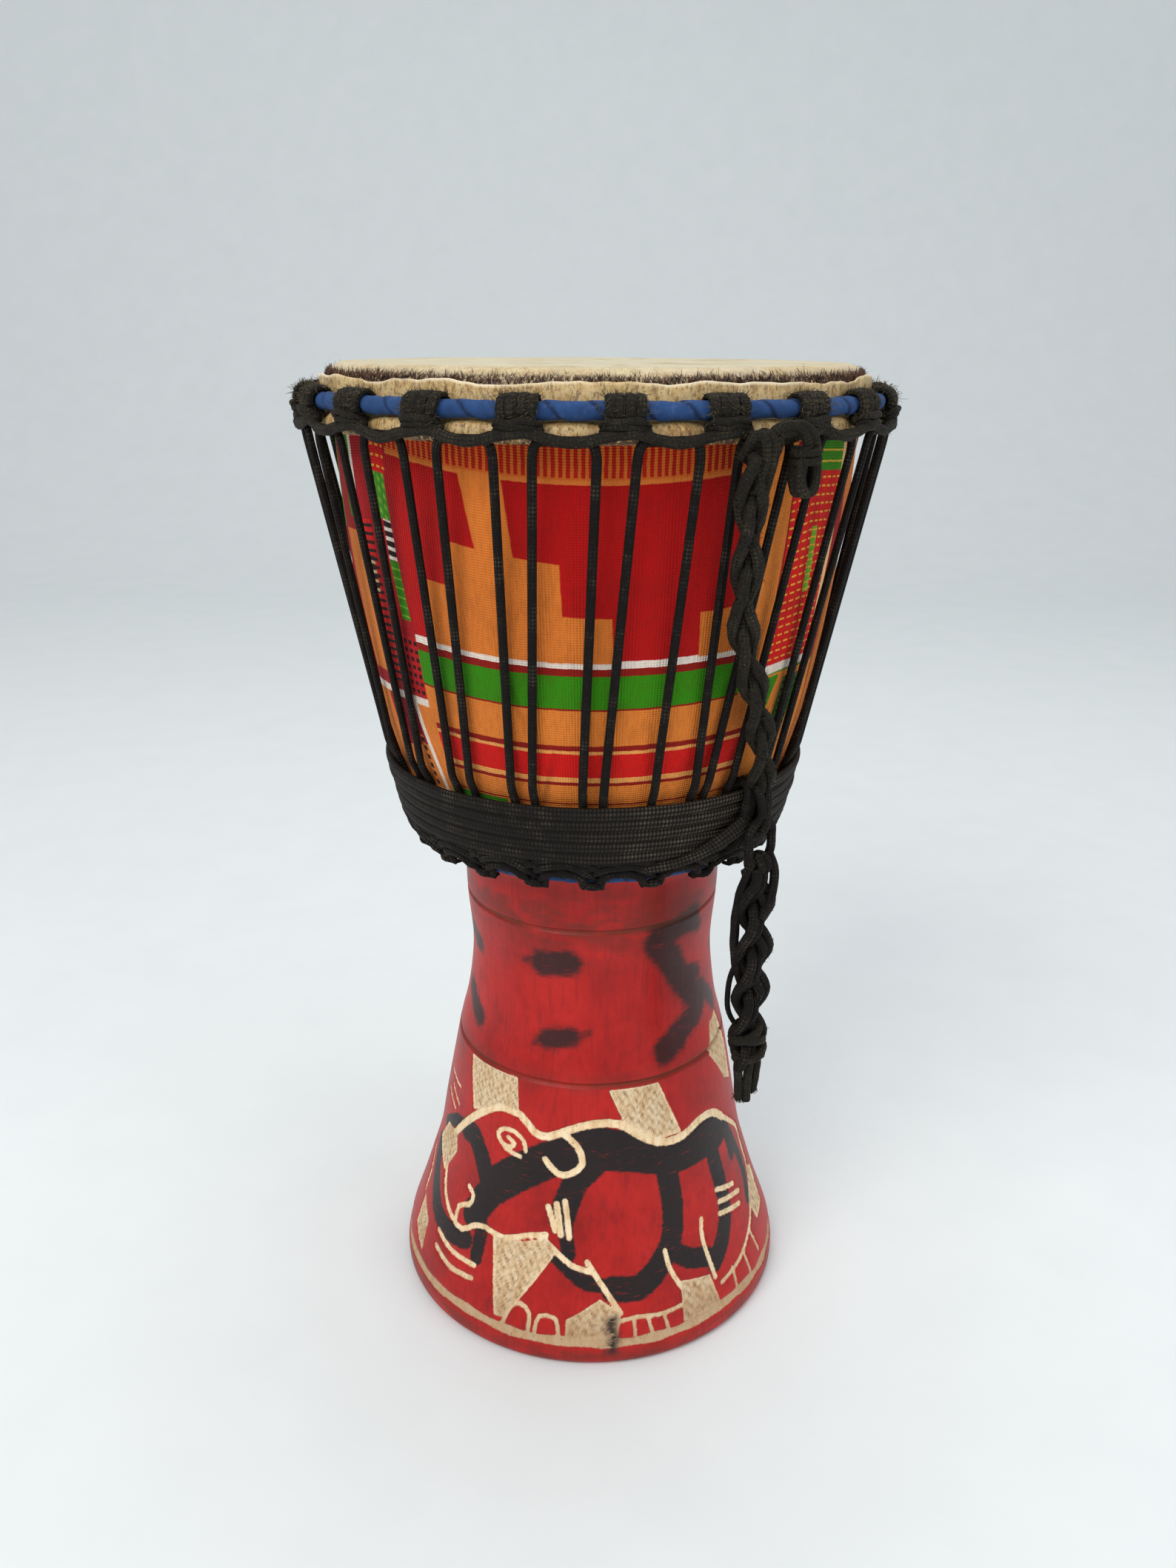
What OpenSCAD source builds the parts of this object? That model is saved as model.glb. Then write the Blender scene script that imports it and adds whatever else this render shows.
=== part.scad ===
// Rope-tuned goblet drum (djembe): a carved shell with a goatskin head, pulled down by
// two cloth-wrapped rings, loop cords and one lacing rope. The spare rope is tied round
// the binding and hangs as a plaited tail.
// The origin is the centre of the foot on the floor, +Z is up and -Y is the front.
// Angles round the drum are measured from the front towards +X.

/* [Drum] */
// Overall height, from the floor to the playing face
height = 510; // [506:1:514]
// Outside diameter of the foot
foot_d = 221; // [217:1:224]
// Outside diameter of the stem at its narrowest
waist_d = 133; // [130:1:136]
// Outside diameter of the bare shell at the rim
rim_d = 252; // [250:1:254]
// Depth of the two turned grooves on the stem
groove_depth = 1.2; // [0.5:0.1:2]

/* [Head and cloth] */
// Thickness of the goatskin
skin_t = 1; // [0.8:0.1:1.2]
// Thickness of the cloth round the bowl
cloth_t = 0.8; // [0.5:0.1:0.9]
// Height of the trimmed skin collar above the crown ring
collar_rise = 6.3; // [4:0.1:8]

/* [Rings] */
// Thickness of the steel rod of the flesh ring
flesh_rod_d = 6; // [5:0.1:6]
// Thickness of the steel rod of the crown ring
crown_rod_d = 6.6; // [5:0.1:6.8]
// Thickness of the crown ring with its cloth
crown_wrap_d = 8.8; // [8:0.1:8.8]
// Thickness of the steel rod of the lower ring
lower_rod_d = 5.2; // [4:0.1:5.4]
// Thickness of the lower ring with its cloth
lower_wrap_d = 7; // [6:0.1:7]

/* [Ropes] */
// Diameter of the lacing rope
rope_d = 4; // [3.6:0.1:4]
// Diameter of the rope where it is pulled tight in a hitch
hitch_rope_d = 3.6; // [3:0.1:3.6]
// Number of hitches round the crown ring
hitches = 21; // [18:1:21]
// Angle of the first hitch from the front
first_hitch = 4.5; // [0:0.5:8]
// Sideways lean of the lacing, in degrees round the drum
lacing_lean = -4.6; // [-5:0.1:0]
// Turns of rope in the binding
binding_turns = 5; // [4:1:5]
// Width of the rope where the binding presses it flat
bound_rope_w = 5.7; // [4.5:0.1:5.7]
// Thickness of the plaited spare rope
plait_d = 12; // [10:0.5:12]
// Thickness of the plaited tail
tail_d = 17; // [14:0.5:17]

/* [Hidden] */
$fn = 96;

// Clearance between parts that only touch
gap = 0.2;
pitch = 360 / hitches;
foot_r = foot_d / 2;
waist_r = waist_d / 2;
rim_r = rim_d / 2;

// Outline of the stem, as [height, radius]
stem = [[8, foot_r], [20, foot_r - 2.4], [45, foot_r - 11], [60, foot_r - 16], [80, foot_r - 22],
    [100, foot_r - 25.6], [120, foot_r - 29.4], [150, waist_r + 9.3], [170, waist_r + 4],
    [190, waist_r + 1], [209, waist_r], [237, waist_r + 2.2], [257, waist_r + 3]];
// Outline of the bowl, as [drop below the playing face, inset from the rim radius]
bowl = [[244, rim_r - waist_r - 4], [238, rim_r - waist_r - 10], [230, 40], [220, 32.2],
    [208, 28.8], [195, 25.9], [170, 18.8], [150, 14.4], [110, 7.6], [70, 3], [30, 0.4], [10, 0]];
outside = concat(stem, [for (p = bowl) [height - p[0], rim_r - p[1]]]);
// Outline of the hollow, as [height, radius]
inside = [[0, foot_r - 13.5], [25, foot_r - 18.5], [60, foot_r - 31], [100, foot_r - 42],
    [150, waist_r - 9], [200, waist_r - 17], [245, waist_r - 17], [height - 242, waist_r - 12],
    [height - 225, rim_r - 56], [height - 200, rim_r - 39], [height - 160, rim_r - 28],
    [height - 110, rim_r - 21], [height - 60, rim_r - 16.5], [height - 12, rim_r - 14]];
// The foot is rounded by this much, and the two corners of the rim by these
foot_round = 4.5;
rim_round = 6;
bearing_round = 4.5;
groove_r = 1.5;
groove_z = [151.5, 237];

// Where the skin, the rings and the ropes run, seen in section as [radius, height]
skin_corner = [rim_r - rim_round - 0.1, height - 8.6];
flesh_at = [rim_r + 6, height - 25.8];
crown_at = [rim_r + 10.2, height - 15.7];
lower_at = [waist_r + 21.7, 276.7];
cloth_foot = 286;
cloth_top = height - 18;
lace_top = [rim_r + 13.4, height - 34];
lace_bend = [rim_r + 14.2, height - 30.8];
lace_knee = [rim_r - 16.8, height - 183];
lace_under_top = [rim_r - 21.4, height - 190.8];
lace_under_foot = [rim_r - 28.2, height - 220];
lace_foot = [rim_r - 29.4, height - 225.2];
// Half the angle between the two runs of a pair, at the top and at the binding
pair_top = 3.4;
pair_foot = 2.5;
// The wraps of a hitch lie this far apart, and go round the ring between these angles
wraps = 4;
wrap_step = 1.8;
wrap_span = [-75, 112];
cord_sides = 8;

// Route of the plait down the lacing, as [angle, height]; it lies on the lacing rope
plait_route = [[25.5, 476], [25.5, 455], [26.5, 438], [27, 421], [28, 404], [31, 387], [35, 368],
    [38.5, 349], [41.5, 331], [43, 325]];
// Route of the short end beside the tie knot, as [radius, angle, height]
tie_tail_route = [[148.5, 29.5, 484], [150, 30.5, 487.5], [151, 32, 488.5], [151.5, 33.4, 486],
    [151, 34, 481], [150.5, 34, 477]];
tie_knob = [150, 34, 468];
tie_angle = 27.5;

// The tail hangs in front of this angle, in a plane this far from the axis. Its link turns
// about the strand of the hitch that runs through it.
tail_angle = 43.4;
tail_r = 115.6;
link_pivot_z = 300;
link_top_z = link_pivot_z + 4.4;
link_h = 22;
link_w = 13;
tail_pivot_z = link_top_z - link_h;
tail_top_z = tail_pivot_z - 6;
tail_knot_z = 176;
tail_knot_h = 15;
tail_knot_d = 21;
stub_d = 7;
stub_end_z = 151;
// Angle between the middle strand of the hitch and each of its neighbours
hitch_strand_step = 2.4;

// Points on an arc about c, in section
function arc(c, r, from, to, n = 8) =
    [for (i = [0 : n]) let (a = from + (to - from) * i / n) c + r * [cos(a), sin(a)]];
// One coordinate of a smooth curve between b and c, with a and d as the points either side
function blend(a, b, c, d, t) =
    b + t / 2 * (c - a + t * (2 * a - 5 * b + 4 * c - d + t * (3 * (b - c) + d - a)));
// A smooth curve through the points p, with n steps between each two
function smooth(p, n) = concat(
    [for (i = [0 : len(p) - 2], j = [0 : n - 1])
        blend(p[max(i - 1, 0)], p[i], p[i + 1], p[min(i + 2, len(p) - 1)], j / n)],
    [p[len(p) - 1]]);
function flip(p) = [for (q = p) [q[1], q[0]]];
function backwards(p) = [for (i = [len(p) - 1 : -1 : 0]) p[i]];
// A point at radius, angle and height, and a section point turned to an angle
function polar(r, a, z) = [r * sin(a), -r * cos(a), z];
function at(s, a) = polar(s[0], a, s[1]);
function unit(v) = v / norm(v);
// Radius of the middle of a free run of lacing at height z
function lace_r(z) = lace_knee[0]
    + (z - lace_knee[1]) * (lace_top[0] - lace_knee[0]) / (lace_top[1] - lace_knee[1]);
function hitch_angle(k) = first_hitch + k * pitch;

// Turns its children from the +X axis to the angle a
module turned(a) { rotate([0, 0, a - 90]) children(); }

// A ring of rod of diameter d about the drum's axis
module hoop(s, d) { rotate_extrude($fn = 180) translate(s) circle(d = d, $fn = 32); }

// A ring of rope pressed flat, leaning outwards by the angle lean
module flat_hoop(s, w, t, lean) {
    rotate_extrude($fn = 180) translate(s) rotate(-lean) {
        square([t, w - t], center = true);
        for (side = [-1, 1]) translate([0, side * (w - t) / 2]) circle(d = t, $fn = 32);
    }
}

// A cord along a path. The seam faces away from the drum's axis.
module cord(path, d, closed = false) {
    n = len(path);
    rings = [for (i = [0 : n - 1])
        let (before = closed ? path[(i + n - 1) % n] : path[max(i - 1, 0)],
            after = closed ? path[(i + 1) % n] : path[min(i + 1, n - 1)],
            along = unit(after - before),
            out = [path[i][0], path[i][1], 0],
            side = unit(out - (out * along) * along),
            up = cross(along, side))
        for (j = [0 : cord_sides - 1])
            let (a = 360 * j / cord_sides)
            path[i] + d / 2 * (cos(a) * side + sin(a) * up)];
    walls = [for (i = [0 : n - (closed ? 1 : 2)], j = [0 : cord_sides - 1])
        let (a = i * cord_sides, b = ((i + 1) % n) * cord_sides, k = (j + 1) % cord_sides)
        [a + j, b + j, b + k, a + k]];
    ends = closed ? [] : [[for (j = [0 : cord_sides - 1]) j],
        [for (j = [cord_sides - 1 : -1 : 0]) (n - 1) * cord_sides + j]];
    polyhedron(points = rings, faces = concat(walls, ends), convexity = 10);
}

module shell() {
    color("firebrick") difference() {
        rotate_extrude($fn = 180) polygon(concat(
            [[foot_r - 13.5, 0]],
            arc([foot_r - foot_round, foot_round], foot_round, -90, -8, 6),
            flip(smooth(outside, 3)),
            arc([rim_r - rim_round, height - skin_t - rim_round], rim_round, 0, 90),
            arc([rim_r - 14 + bearing_round, height - skin_t - bearing_round], bearing_round, 90, 180),
            backwards(flip(smooth(inside, 3)))));
        for (z = groove_z)
            hoop([lookup(z, outside) + groove_r - groove_depth, z], 2 * groove_r);
    }
}

module cloth_cover() {
    bottom = cloth_foot;
    wall = [for (p = smooth(outside, 3)) if (p[0] > bottom && p[0] < cloth_top) p];
    line = concat([[bottom, lookup(bottom, smooth(outside, 3))]], wall,
        [[cloth_top, lookup(cloth_top, outside)]]);
    color("darkorange") rotate_extrude($fn = 180) polygon(concat(
        [for (p = line) [p[1] + gap, p[0]]],
        [for (p = backwards(line)) [p[1] + gap + cloth_t, p[0]]]));
}

// The head is one skin: over the rim, down the side, round the flesh ring and up again
module drum_head() {
    wall_r = skin_corner[0] + 7.6;
    roll_d = flesh_rod_d + 2 * gap + 2 * skin_t;
    color("wheat") rotate_extrude($fn = 180) difference() {
        union() {
            translate([0, height - skin_t]) square([skin_corner[0], skin_t]);
            intersection() {
                translate(skin_corner) difference() {
                    circle(r = 7.6 + skin_t);
                    circle(r = 7.6);
                }
                translate(skin_corner) square(20);
            }
            translate([wall_r, flesh_at[1]]) square([skin_t, skin_corner[1] - flesh_at[1]]);
            translate(flesh_at) circle(d = roll_d, $fn = 32);
            translate([flesh_at[0] - 1.6, flesh_at[1] + 3.4])
                square([skin_t, crown_at[1] + crown_wrap_d / 2 + collar_rise - flesh_at[1] - 3.4]);
        }
        translate(flesh_at) circle(d = flesh_rod_d + 2 * gap, $fn = 32);
    }
}

module flesh_ring() { color("silver") hoop(flesh_at, flesh_rod_d); }
module crown_ring() { color("silver") hoop(crown_at, crown_rod_d); }
module lower_ring() { color("silver") hoop(lower_at, lower_rod_d); }

// Cloth wound round a rod
module ring_wrap(s, rod_d, wrap_d) {
    color("royalblue") rotate_extrude($fn = 180) translate(s) difference() {
        circle(d = wrap_d, $fn = 32);
        circle(d = rod_d + gap, $fn = 32);
    }
}
module crown_ring_wrap() { ring_wrap(crown_at, crown_rod_d, crown_wrap_d); }
module lower_ring_wrap() { ring_wrap(lower_at, lower_rod_d, lower_wrap_d); }

// Each hitch is four tight wraps round the crown ring
module crown_hitches() {
    wrap_r = (crown_wrap_d + hitch_rope_d) / 2 + 0.1;
    color("dimgray") for (k = [0 : hitches - 1], j = [0 : wraps - 1])
        turned(hitch_angle(k) + (j - (wraps - 1) / 2) * wrap_step)
            translate([crown_at[0], 0, crown_at[1]])
                rotate([90, 0, 0]) rotate([0, 0, wrap_span[0]])
                    rotate_extrude(angle = wrap_span[1] - wrap_span[0], $fn = 32)
                        translate([wrap_r, 0]) circle(d = hitch_rope_d, $fn = 24);
}

// A cradle hangs between each two hitches and holds a bend of the lacing
module crown_cradles() {
    dip = [crown_at[0] + 6.2, crown_at[1] - 11.2];
    half = [[crown_at + [3, -10.2], 2.5], [crown_at + [5.2, -10.6], 3.9], [dip + [0, 0.2], 6]];
    color("dimgray") for (k = [0 : hitches - 1])
        cord(concat(
            [for (h = half) at(h[0], hitch_angle(k) + h[1])],
            [at(dip, hitch_angle(k) + pitch / 2)],
            [for (h = backwards(half)) at(h[0], hitch_angle(k + 1) - h[1])]), rope_d - 0.2);
}

// One rope, zigzag all round: up to a cradle, along it, down to a lower loop and up again
module lacing_rope() {
    rise = [[lace_under_foot, pair_foot + lacing_lean], [lace_under_top, pair_foot + lacing_lean],
        [lace_knee, pair_foot + lacing_lean], [lace_top, pair_top], [lace_bend, pair_top + 1.2]];
    fall = [for (p = backwards(rise)) p];
    color("black") cord([for (k = [0 : hitches - 1]) each concat(
        [at(lace_foot, hitch_angle(k) + lacing_lean)],
        [for (p = rise) at(p[0], hitch_angle(k) + p[1])],
        [at(lace_bend + [0.1, 0.4], hitch_angle(k) + pitch / 2)],
        [for (p = fall) at(p[0], hitch_angle(k + 1) - p[1] + (p[0] == lace_top || p[0] == lace_bend
            ? 0 : 2 * lacing_lean))])], rope_d, closed = true);
}

// Loops round the lower ring that the lacing hooks through
module lower_loops() {
    leg = [[lower_at + [5.4, -2.4], -2.8], [lower_at + [6.2, 1.8], -2.8],
        [lower_at + [8.6, 5], -2.5], [lower_at + [11.4, 7.4], -2]];
    top = lower_at + [13, 9.9];
    color("dimgray") for (k = [0 : hitches - 1])
        cord(concat(
            [for (p = leg) at(p[0], hitch_angle(k) + lacing_lean + p[1])],
            [at(top, hitch_angle(k) + lacing_lean)],
            [for (p = backwards(leg)) at(p[0], hitch_angle(k) + lacing_lean - p[1])]), rope_d - 0.2);
}

// The spare rope wound round the pairs, turn below turn
module binding_wrap() {
    thick = rope_d - 0.4;
    slope = (lace_under_top - lace_under_foot) / norm(lace_under_top - lace_under_foot);
    top = lace_under_top + [slope[1], -slope[0]] * (rope_d + thick + gap) / 2 - 2.5 * slope;
    color("black") for (i = [0 : binding_turns - 1])
        flat_hoop(top - i * (bound_rope_w + gap) * slope, bound_rope_w, thick, atan2(slope[0], slope[1]));
}

// Three turns pulled tight on the lacing below a cradle
module tie_knot() {
    color("black") for (i = [-1 : 1])
        turned(tie_angle + i * 1.9)
            translate([crown_at[0] + 5.2, 0, crown_at[1] - 15.7]) rotate([90, 0, 0])
                rotate_extrude($fn = 32) translate([rope_d + 0.4, 0]) circle(d = rope_d, $fn = 24);
}

// The short end of the knot: a bend of rope and a knob of it, folded and bound
module tie_tail() {
    color("black") {
        cord([for (p = tie_tail_route) polar(p[0], p[1], p[2])], rope_d + 1);
        translate(polar(tie_knob[0], tie_knob[1], tie_knob[2])) rotate_extrude($fn = 32) polygon(
            concat([[0, -10]], arc([2.5, -6.5], 3.5, -90, 0, 5), arc([0.5, 4], 5.5, 0, 90, 5), [[0, 9.5]]));
    }
}

// The rest of the rope, plaited and led down over the lacing
module plait_upper() {
    rest = rope_d / 2 + plait_d / 2 + 0.6;
    color("black") cord([for (p = plait_route) polar(lace_r(p[1]) + rest, p[0], p[1])], plait_d);
}

// Three strands hitched round the binding. The middle one holds the link.
module wrap_hitch() {
    step = rope_d + 0.15;
    base = lace_under_top - [0, 1.2];
    foot = lace_under_foot + [0.7, 2.2];
    behind = [foot + [step - 0.2, -step], foot, base + [0.2, 1.4], base + [step + 0.2, step]];
    plain = concat(behind, [base + [2 * step, 0.5], foot + [2 * step, -0.6]]);
    holding = concat(behind, [base + [2 * step + 2, 3], [tail_r + 3.6, link_pivot_z + 12],
        [tail_r + 4.2, link_pivot_z + 5], [tail_r + 3, link_pivot_z + 1], [tail_r, link_pivot_z],
        [tail_r - 4, link_pivot_z - 1.6], foot + [2 * step, -1]]);
    color("black") {
        for (side = [-1, 1])
            cord([for (p = plain) at(p, tail_angle + side * hitch_strand_step)], rope_d - 0.2, closed = true);
        cord([for (p = holding) at(p, tail_angle)], rope_d - 0.2, closed = true);
    }
}

// A closed link of rope, free to swing in front of the hitch
module tail_link() {
    bend = link_w / 2;
    link_rope_d = rope_d - 0.2;
    color("black") turned(tail_angle) translate([tail_r, 0, link_top_z]) rotate([90, 0, 90]) {
        for (end = [0, 1])
            translate([0, end ? bend - link_h : -bend]) rotate([0, 0, 180 * end])
                rotate_extrude(angle = 180, $fn = 48) translate([bend, 0])
                    circle(d = link_rope_d, $fn = 24);
        for (x = [-bend, bend])
            translate([x, -bend, 0]) rotate([90, 0, 0])
                cylinder(d = link_rope_d, h = link_h - 2 * bend, $fn = 24);
    }
}

// The plaited tail and the eye that it hangs from
module plait_lower() {
    step = (tail_top_z - tail_knot_z) / 4;
    color("black") {
        cord([for (i = [0 : 4]) polar(tail_r, tail_angle, tail_top_z - i * step)], tail_d);
        turned(tail_angle) translate([tail_r, 0, tail_pivot_z]) rotate([90, 0, 0])
            rotate_extrude($fn = 32) translate([rope_d + 0.4, 0]) circle(d = rope_d, $fn = 24);
    }
}

// The knot that stops the plait, with the two cut ends of the rope
module tail_end_knot() {
    color("black") turned(tail_angle) translate([tail_r, 0, tail_knot_z]) {
        rotate_extrude($fn = 48) polygon(concat([[0, -tail_knot_h]],
            arc([tail_knot_d / 2 - 5, 5 - tail_knot_h], 5, -90, 0),
            arc([tail_knot_d / 2 - 5, -5], 5, 0, 90), [[0, 0]]));
        for (side = [-1, 1])
            translate([0, side * 3.8, stub_end_z - tail_knot_z])
                cylinder(d = stub_d, h = tail_knot_z - tail_knot_h - stub_end_z + 1, $fn = 32);
    }
}

shell();
cloth_cover();
drum_head();
flesh_ring();
crown_ring();
crown_ring_wrap();
lower_ring();
lower_ring_wrap();
crown_hitches();
crown_cradles();
lacing_rope();
lower_loops();
binding_wrap();
tie_knot();
tie_tail();
plait_upper();
wrap_hitch();
tail_link();
plait_lower();
tail_end_knot();
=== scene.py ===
"""The looks of a rope-tuned goblet drum: carved and painted wood, printed cloth, goatskin and rope.
Lengths are in millimetres until a mesh is made. Angles round the drum are in degrees from the
front, -Y, towards +X."""

import math

import bpy
import numpy as np
from mathutils import Matrix, Vector


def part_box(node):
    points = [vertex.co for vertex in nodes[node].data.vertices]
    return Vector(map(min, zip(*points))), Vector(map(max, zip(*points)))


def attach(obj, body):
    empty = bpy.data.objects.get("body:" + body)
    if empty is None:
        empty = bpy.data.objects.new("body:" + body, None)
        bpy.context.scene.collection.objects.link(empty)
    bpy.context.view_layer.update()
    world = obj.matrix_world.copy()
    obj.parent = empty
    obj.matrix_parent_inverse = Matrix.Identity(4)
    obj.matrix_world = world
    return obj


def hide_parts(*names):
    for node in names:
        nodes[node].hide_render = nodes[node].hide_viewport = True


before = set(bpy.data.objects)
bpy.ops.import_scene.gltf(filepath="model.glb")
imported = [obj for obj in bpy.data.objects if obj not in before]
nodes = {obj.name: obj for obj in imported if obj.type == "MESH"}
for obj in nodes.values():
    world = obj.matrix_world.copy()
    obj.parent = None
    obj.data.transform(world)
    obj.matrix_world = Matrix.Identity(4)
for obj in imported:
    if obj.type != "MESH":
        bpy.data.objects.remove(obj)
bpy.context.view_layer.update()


# ---- helpers
def span(node):
    """Lowest and highest corner of a CAD node, in millimetres."""
    lo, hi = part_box(node)
    return np.array(lo) * 1000, np.array(hi) * 1000


def ring(node):
    """Radius and height of the middle of a ring about the drum's axis, and half its thickness."""
    lo, hi = span(node)
    half = (hi[2] - lo[2]) / 2
    return hi[0] - half, (hi[2] + lo[2]) / 2, half


def polar(r, a, z):
    """Points at radius r, angle a and height z."""
    r, a, z = np.broadcast_arrays(np.asarray(r, float), np.radians(a), z)
    return np.stack([r * np.sin(a), -r * np.cos(a), z], -1)


def unit(v):
    return v / np.maximum(np.linalg.norm(v, axis=-1, keepdims=True), 1e-9)


def smooth(points, step, closed=False):
    """A smooth curve through the points, with a point about every step millimetres."""
    p = np.array(points, float)
    n = len(p)
    ends = [p[-1]] if closed else [2 * p[0] - p[1]]
    q = np.vstack([ends, p, p[:2] if closed else [2 * p[-1] - p[-2]]])
    out = []
    for i in range(n if closed else n - 1):
        a, b, c, d = q[i:i + 4]
        m = max(2, int(np.linalg.norm((c - b)[:3]) / step + 0.5))
        t = (np.arange(m) / m)[:, None]
        out.append(b + t / 2
            * (c - a + t * (2 * a - 5 * b + 4 * c - d + t * (3 * (b - c) + d - a))))
    if not closed:
        out.append(p[-1:])
    return np.vstack(out)


def clamp(x):
    return np.clip(x, 0, 1)


def bump(x, middle, width):
    """1 at the middle, falling to 0 over the width either side."""
    t = clamp(1 - np.abs(x - middle) / width)
    return t * t * (3 - 2 * t)


def waves(x, seed, count=6, low=1, high=8):
    """A smooth random wave of the angle x in degrees, about -1 to 1, that closes after a turn."""
    g = np.random.default_rng(seed)
    x = np.radians(x)
    waves_in_turn = g.integers(low, high + 1, count)
    total = sum(g.normal() * np.sin(k * x + g.uniform(0, 6.28)) for k in waves_in_turn)
    return total / math.sqrt(count)


class Shape:
    """Collects grids of points into one mesh."""

    def __init__(self):
        self.co, self.quads, self.tris, self.quad_uv, self.tri_uv = [], [], [], [], []
        self.fields, self.n = {}, 0

    def grid(self, p, u=None, v=None, round_u=False, round_v=False, fields=None, caps=False):
        """Adds p[row, column]. u runs along a row and v along the rows; either may close."""
        rows, cols = p.shape[:2]
        nr, nc = rows if round_v else rows - 1, cols if round_u else cols - 1
        u = np.linspace(0, 1, nc + 1) if u is None else np.asarray(u, float)
        v = np.linspace(0, 1, nr + 1) if v is None else np.asarray(v, float)
        i, j = np.meshgrid(np.arange(nr), np.arange(nc), indexing="ij")
        low, high, right = i * cols, (i + 1) % rows * cols, (j + 1) % cols
        a, b, c, d = low + j, low + right, high + right, high + j
        self.quads.append(np.stack([a, b, c, d], -1).reshape(-1, 4) + self.n)
        uu = u if u.ndim == 2 else np.broadcast_to(u, (nr + 1, nc + 1))
        vv = v if v.ndim == 2 else np.broadcast_to(v[:, None], (nr + 1, nc + 1))
        uv = np.stack([uu, vv], -1)
        corners = [uv[:-1, :-1], uv[:-1, 1:], uv[1:, 1:], uv[1:, :-1]]
        self.quad_uv.append(np.stack(corners, 2).reshape(-1, 4, 2))
        co = [p.reshape(-1, 3)]
        extra = 0
        if caps:
            for row, turn in ((0, 1), (rows - 1, 0)):
                ring_ids = row * cols + np.arange(cols)
                other = np.roll(ring_ids, -1)
                tip = np.full(cols, rows * cols + extra)
                tri = [tip, other, ring_ids] if turn else [tip, ring_ids, other]
                self.tris.append(np.stack(tri, -1) + self.n)
                self.tri_uv.append(np.broadcast_to(uv[min(row, nr), :3][None], (cols, 3, 2)))
                ahead = p[1 if row == 0 else -2].mean(0)
                middle = p[row].mean(0)
                radius = np.linalg.norm(p[row] - middle, axis=1).mean()
                co.append((middle + unit(middle - ahead) * radius * 0.45)[None])
                extra += 1
        self.co += co
        total = rows * cols + extra
        for k, f in (fields or {}).items():
            f = np.broadcast_to(f, (rows, cols)).reshape(-1)
            self.fields.setdefault(k, []).append(np.concatenate([f, np.full(extra, f.mean())]))
        self.n += total
        return self

    def tube(self, path, radius, sides=10, closed=False, flat=1.0, frame_out=False, v0=0.0, lobes=0,
            lobe_pitch=14.0, lobe=0.06, fields=None):
        """Sweeps a rope along the path. With frame_out, flat presses it towards the drum."""
        p = np.array(path, float)
        n = len(p)
        along = np.roll(p, -1, 0) - np.roll(p, 1, 0) if closed else np.gradient(p, axis=0)
        along = unit(along)
        if frame_out:
            out = unit(p * [1, 1, 0])
            side = unit(out - (out * along).sum(1)[:, None] * along)
        else:
            side = np.empty_like(p)
            first = np.array([p[0, 0], p[0, 1], 0.0])
            if abs((unit(first) * along[0]).sum()) > 0.9:
                first = np.array([0, 0, 1.0])
            last = first
            for i in range(n):
                last = unit(last - (last * along[i]).sum() * along[i])
                side[i] = last
            if closed:
                wrap = unit(last - (last * along[0]).sum() * along[0])
                up0 = np.cross(along[0], side[0])
                turn = math.atan2((wrap * up0).sum(), (wrap * side[0]).sum())
                up = np.cross(along, side)
                t = (-turn * np.arange(n) / n)[:, None]
                side = side * np.cos(t) + up * np.sin(t)
        up = np.cross(along, side)
        length = np.concatenate([[0], np.cumsum(np.linalg.norm(np.diff(p, axis=0), axis=1))])
        a = 2 * np.pi * np.arange(sides) / sides
        r = np.broadcast_to(radius, n)[:, None] * np.ones(sides)
        if lobes:
            r = r * (1 + lobe * np.cos(lobes * a[None] - 2 * np.pi * length[:, None] / lobe_pitch))
        pts = p[:, None] + r[..., None] * (flat * np.cos(a)[None, :, None] * side[:, None]
            + np.sin(a)[None, :, None] * up[:, None] * (2 - flat if frame_out else 1))
        if closed:
            length = np.append(length, length[-1] + np.linalg.norm(p[0] - p[-1]))
        return self.grid(pts, v=(length + v0) / 10, round_u=True, round_v=closed, fields=fields,
            caps=not closed)

    def rope(self, path, radius, pitch=11, lobe=0.05, **how):
        """A tube with the three lobes of a laid rope."""
        return self.tube(path, radius, sides=10, lobes=3, lobe_pitch=pitch, lobe=lobe, **how)

    def build(self, name, material):
        co = np.vstack(self.co) / 1000
        quads = np.vstack(self.quads)
        tris = np.vstack(self.tris) if self.tris else np.zeros((0, 3), int)
        loops = np.concatenate([quads.ravel(), tris.ravel()])
        totals = np.concatenate([np.full(len(quads), 4), np.full(len(tris), 3)])
        starts = np.concatenate([[0], np.cumsum(totals)[:-1]])
        uv = [np.vstack(part).reshape(-1, 2) for part in (self.quad_uv, self.tri_uv) if part]
        mesh = bpy.data.meshes.new(name)
        mesh.vertices.add(len(co))
        mesh.loops.add(len(loops))
        mesh.polygons.add(len(totals))
        for where, what, values in ((mesh.vertices, "co", co.astype(np.float32).ravel()),
                (mesh.loops, "vertex_index", loops.astype(np.int32)),
                (mesh.polygons, "loop_start", starts.astype(np.int32)),
                (mesh.polygons, "loop_total", totals.astype(np.int32)),
                (mesh.polygons, "use_smooth", np.ones(len(totals), bool))):
            where.foreach_set(what, values)
        uv = np.vstack(uv).astype(np.float32).ravel()
        mesh.uv_layers.new(name="UVMap").data.foreach_set("uv", uv)
        for k, parts in self.fields.items():
            values = np.concatenate(parts).astype(np.float32)
            mesh.attributes.new(k, "FLOAT", "POINT").data.foreach_set("value", values)
        mesh.update(calc_edges=True)
        mesh.validate()
        mesh.materials.append(material)
        obj = bpy.data.objects.new(name, mesh)
        bpy.context.scene.collection.objects.link(obj)
        return obj


def bent(line, step, shift=(0, 0, 0), closed=False):
    """A smooth curve through (radius, angle, height) points, all moved by shift."""
    return smooth([polar(*p) for p in np.array(line, float) + shift], step, closed)


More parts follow.
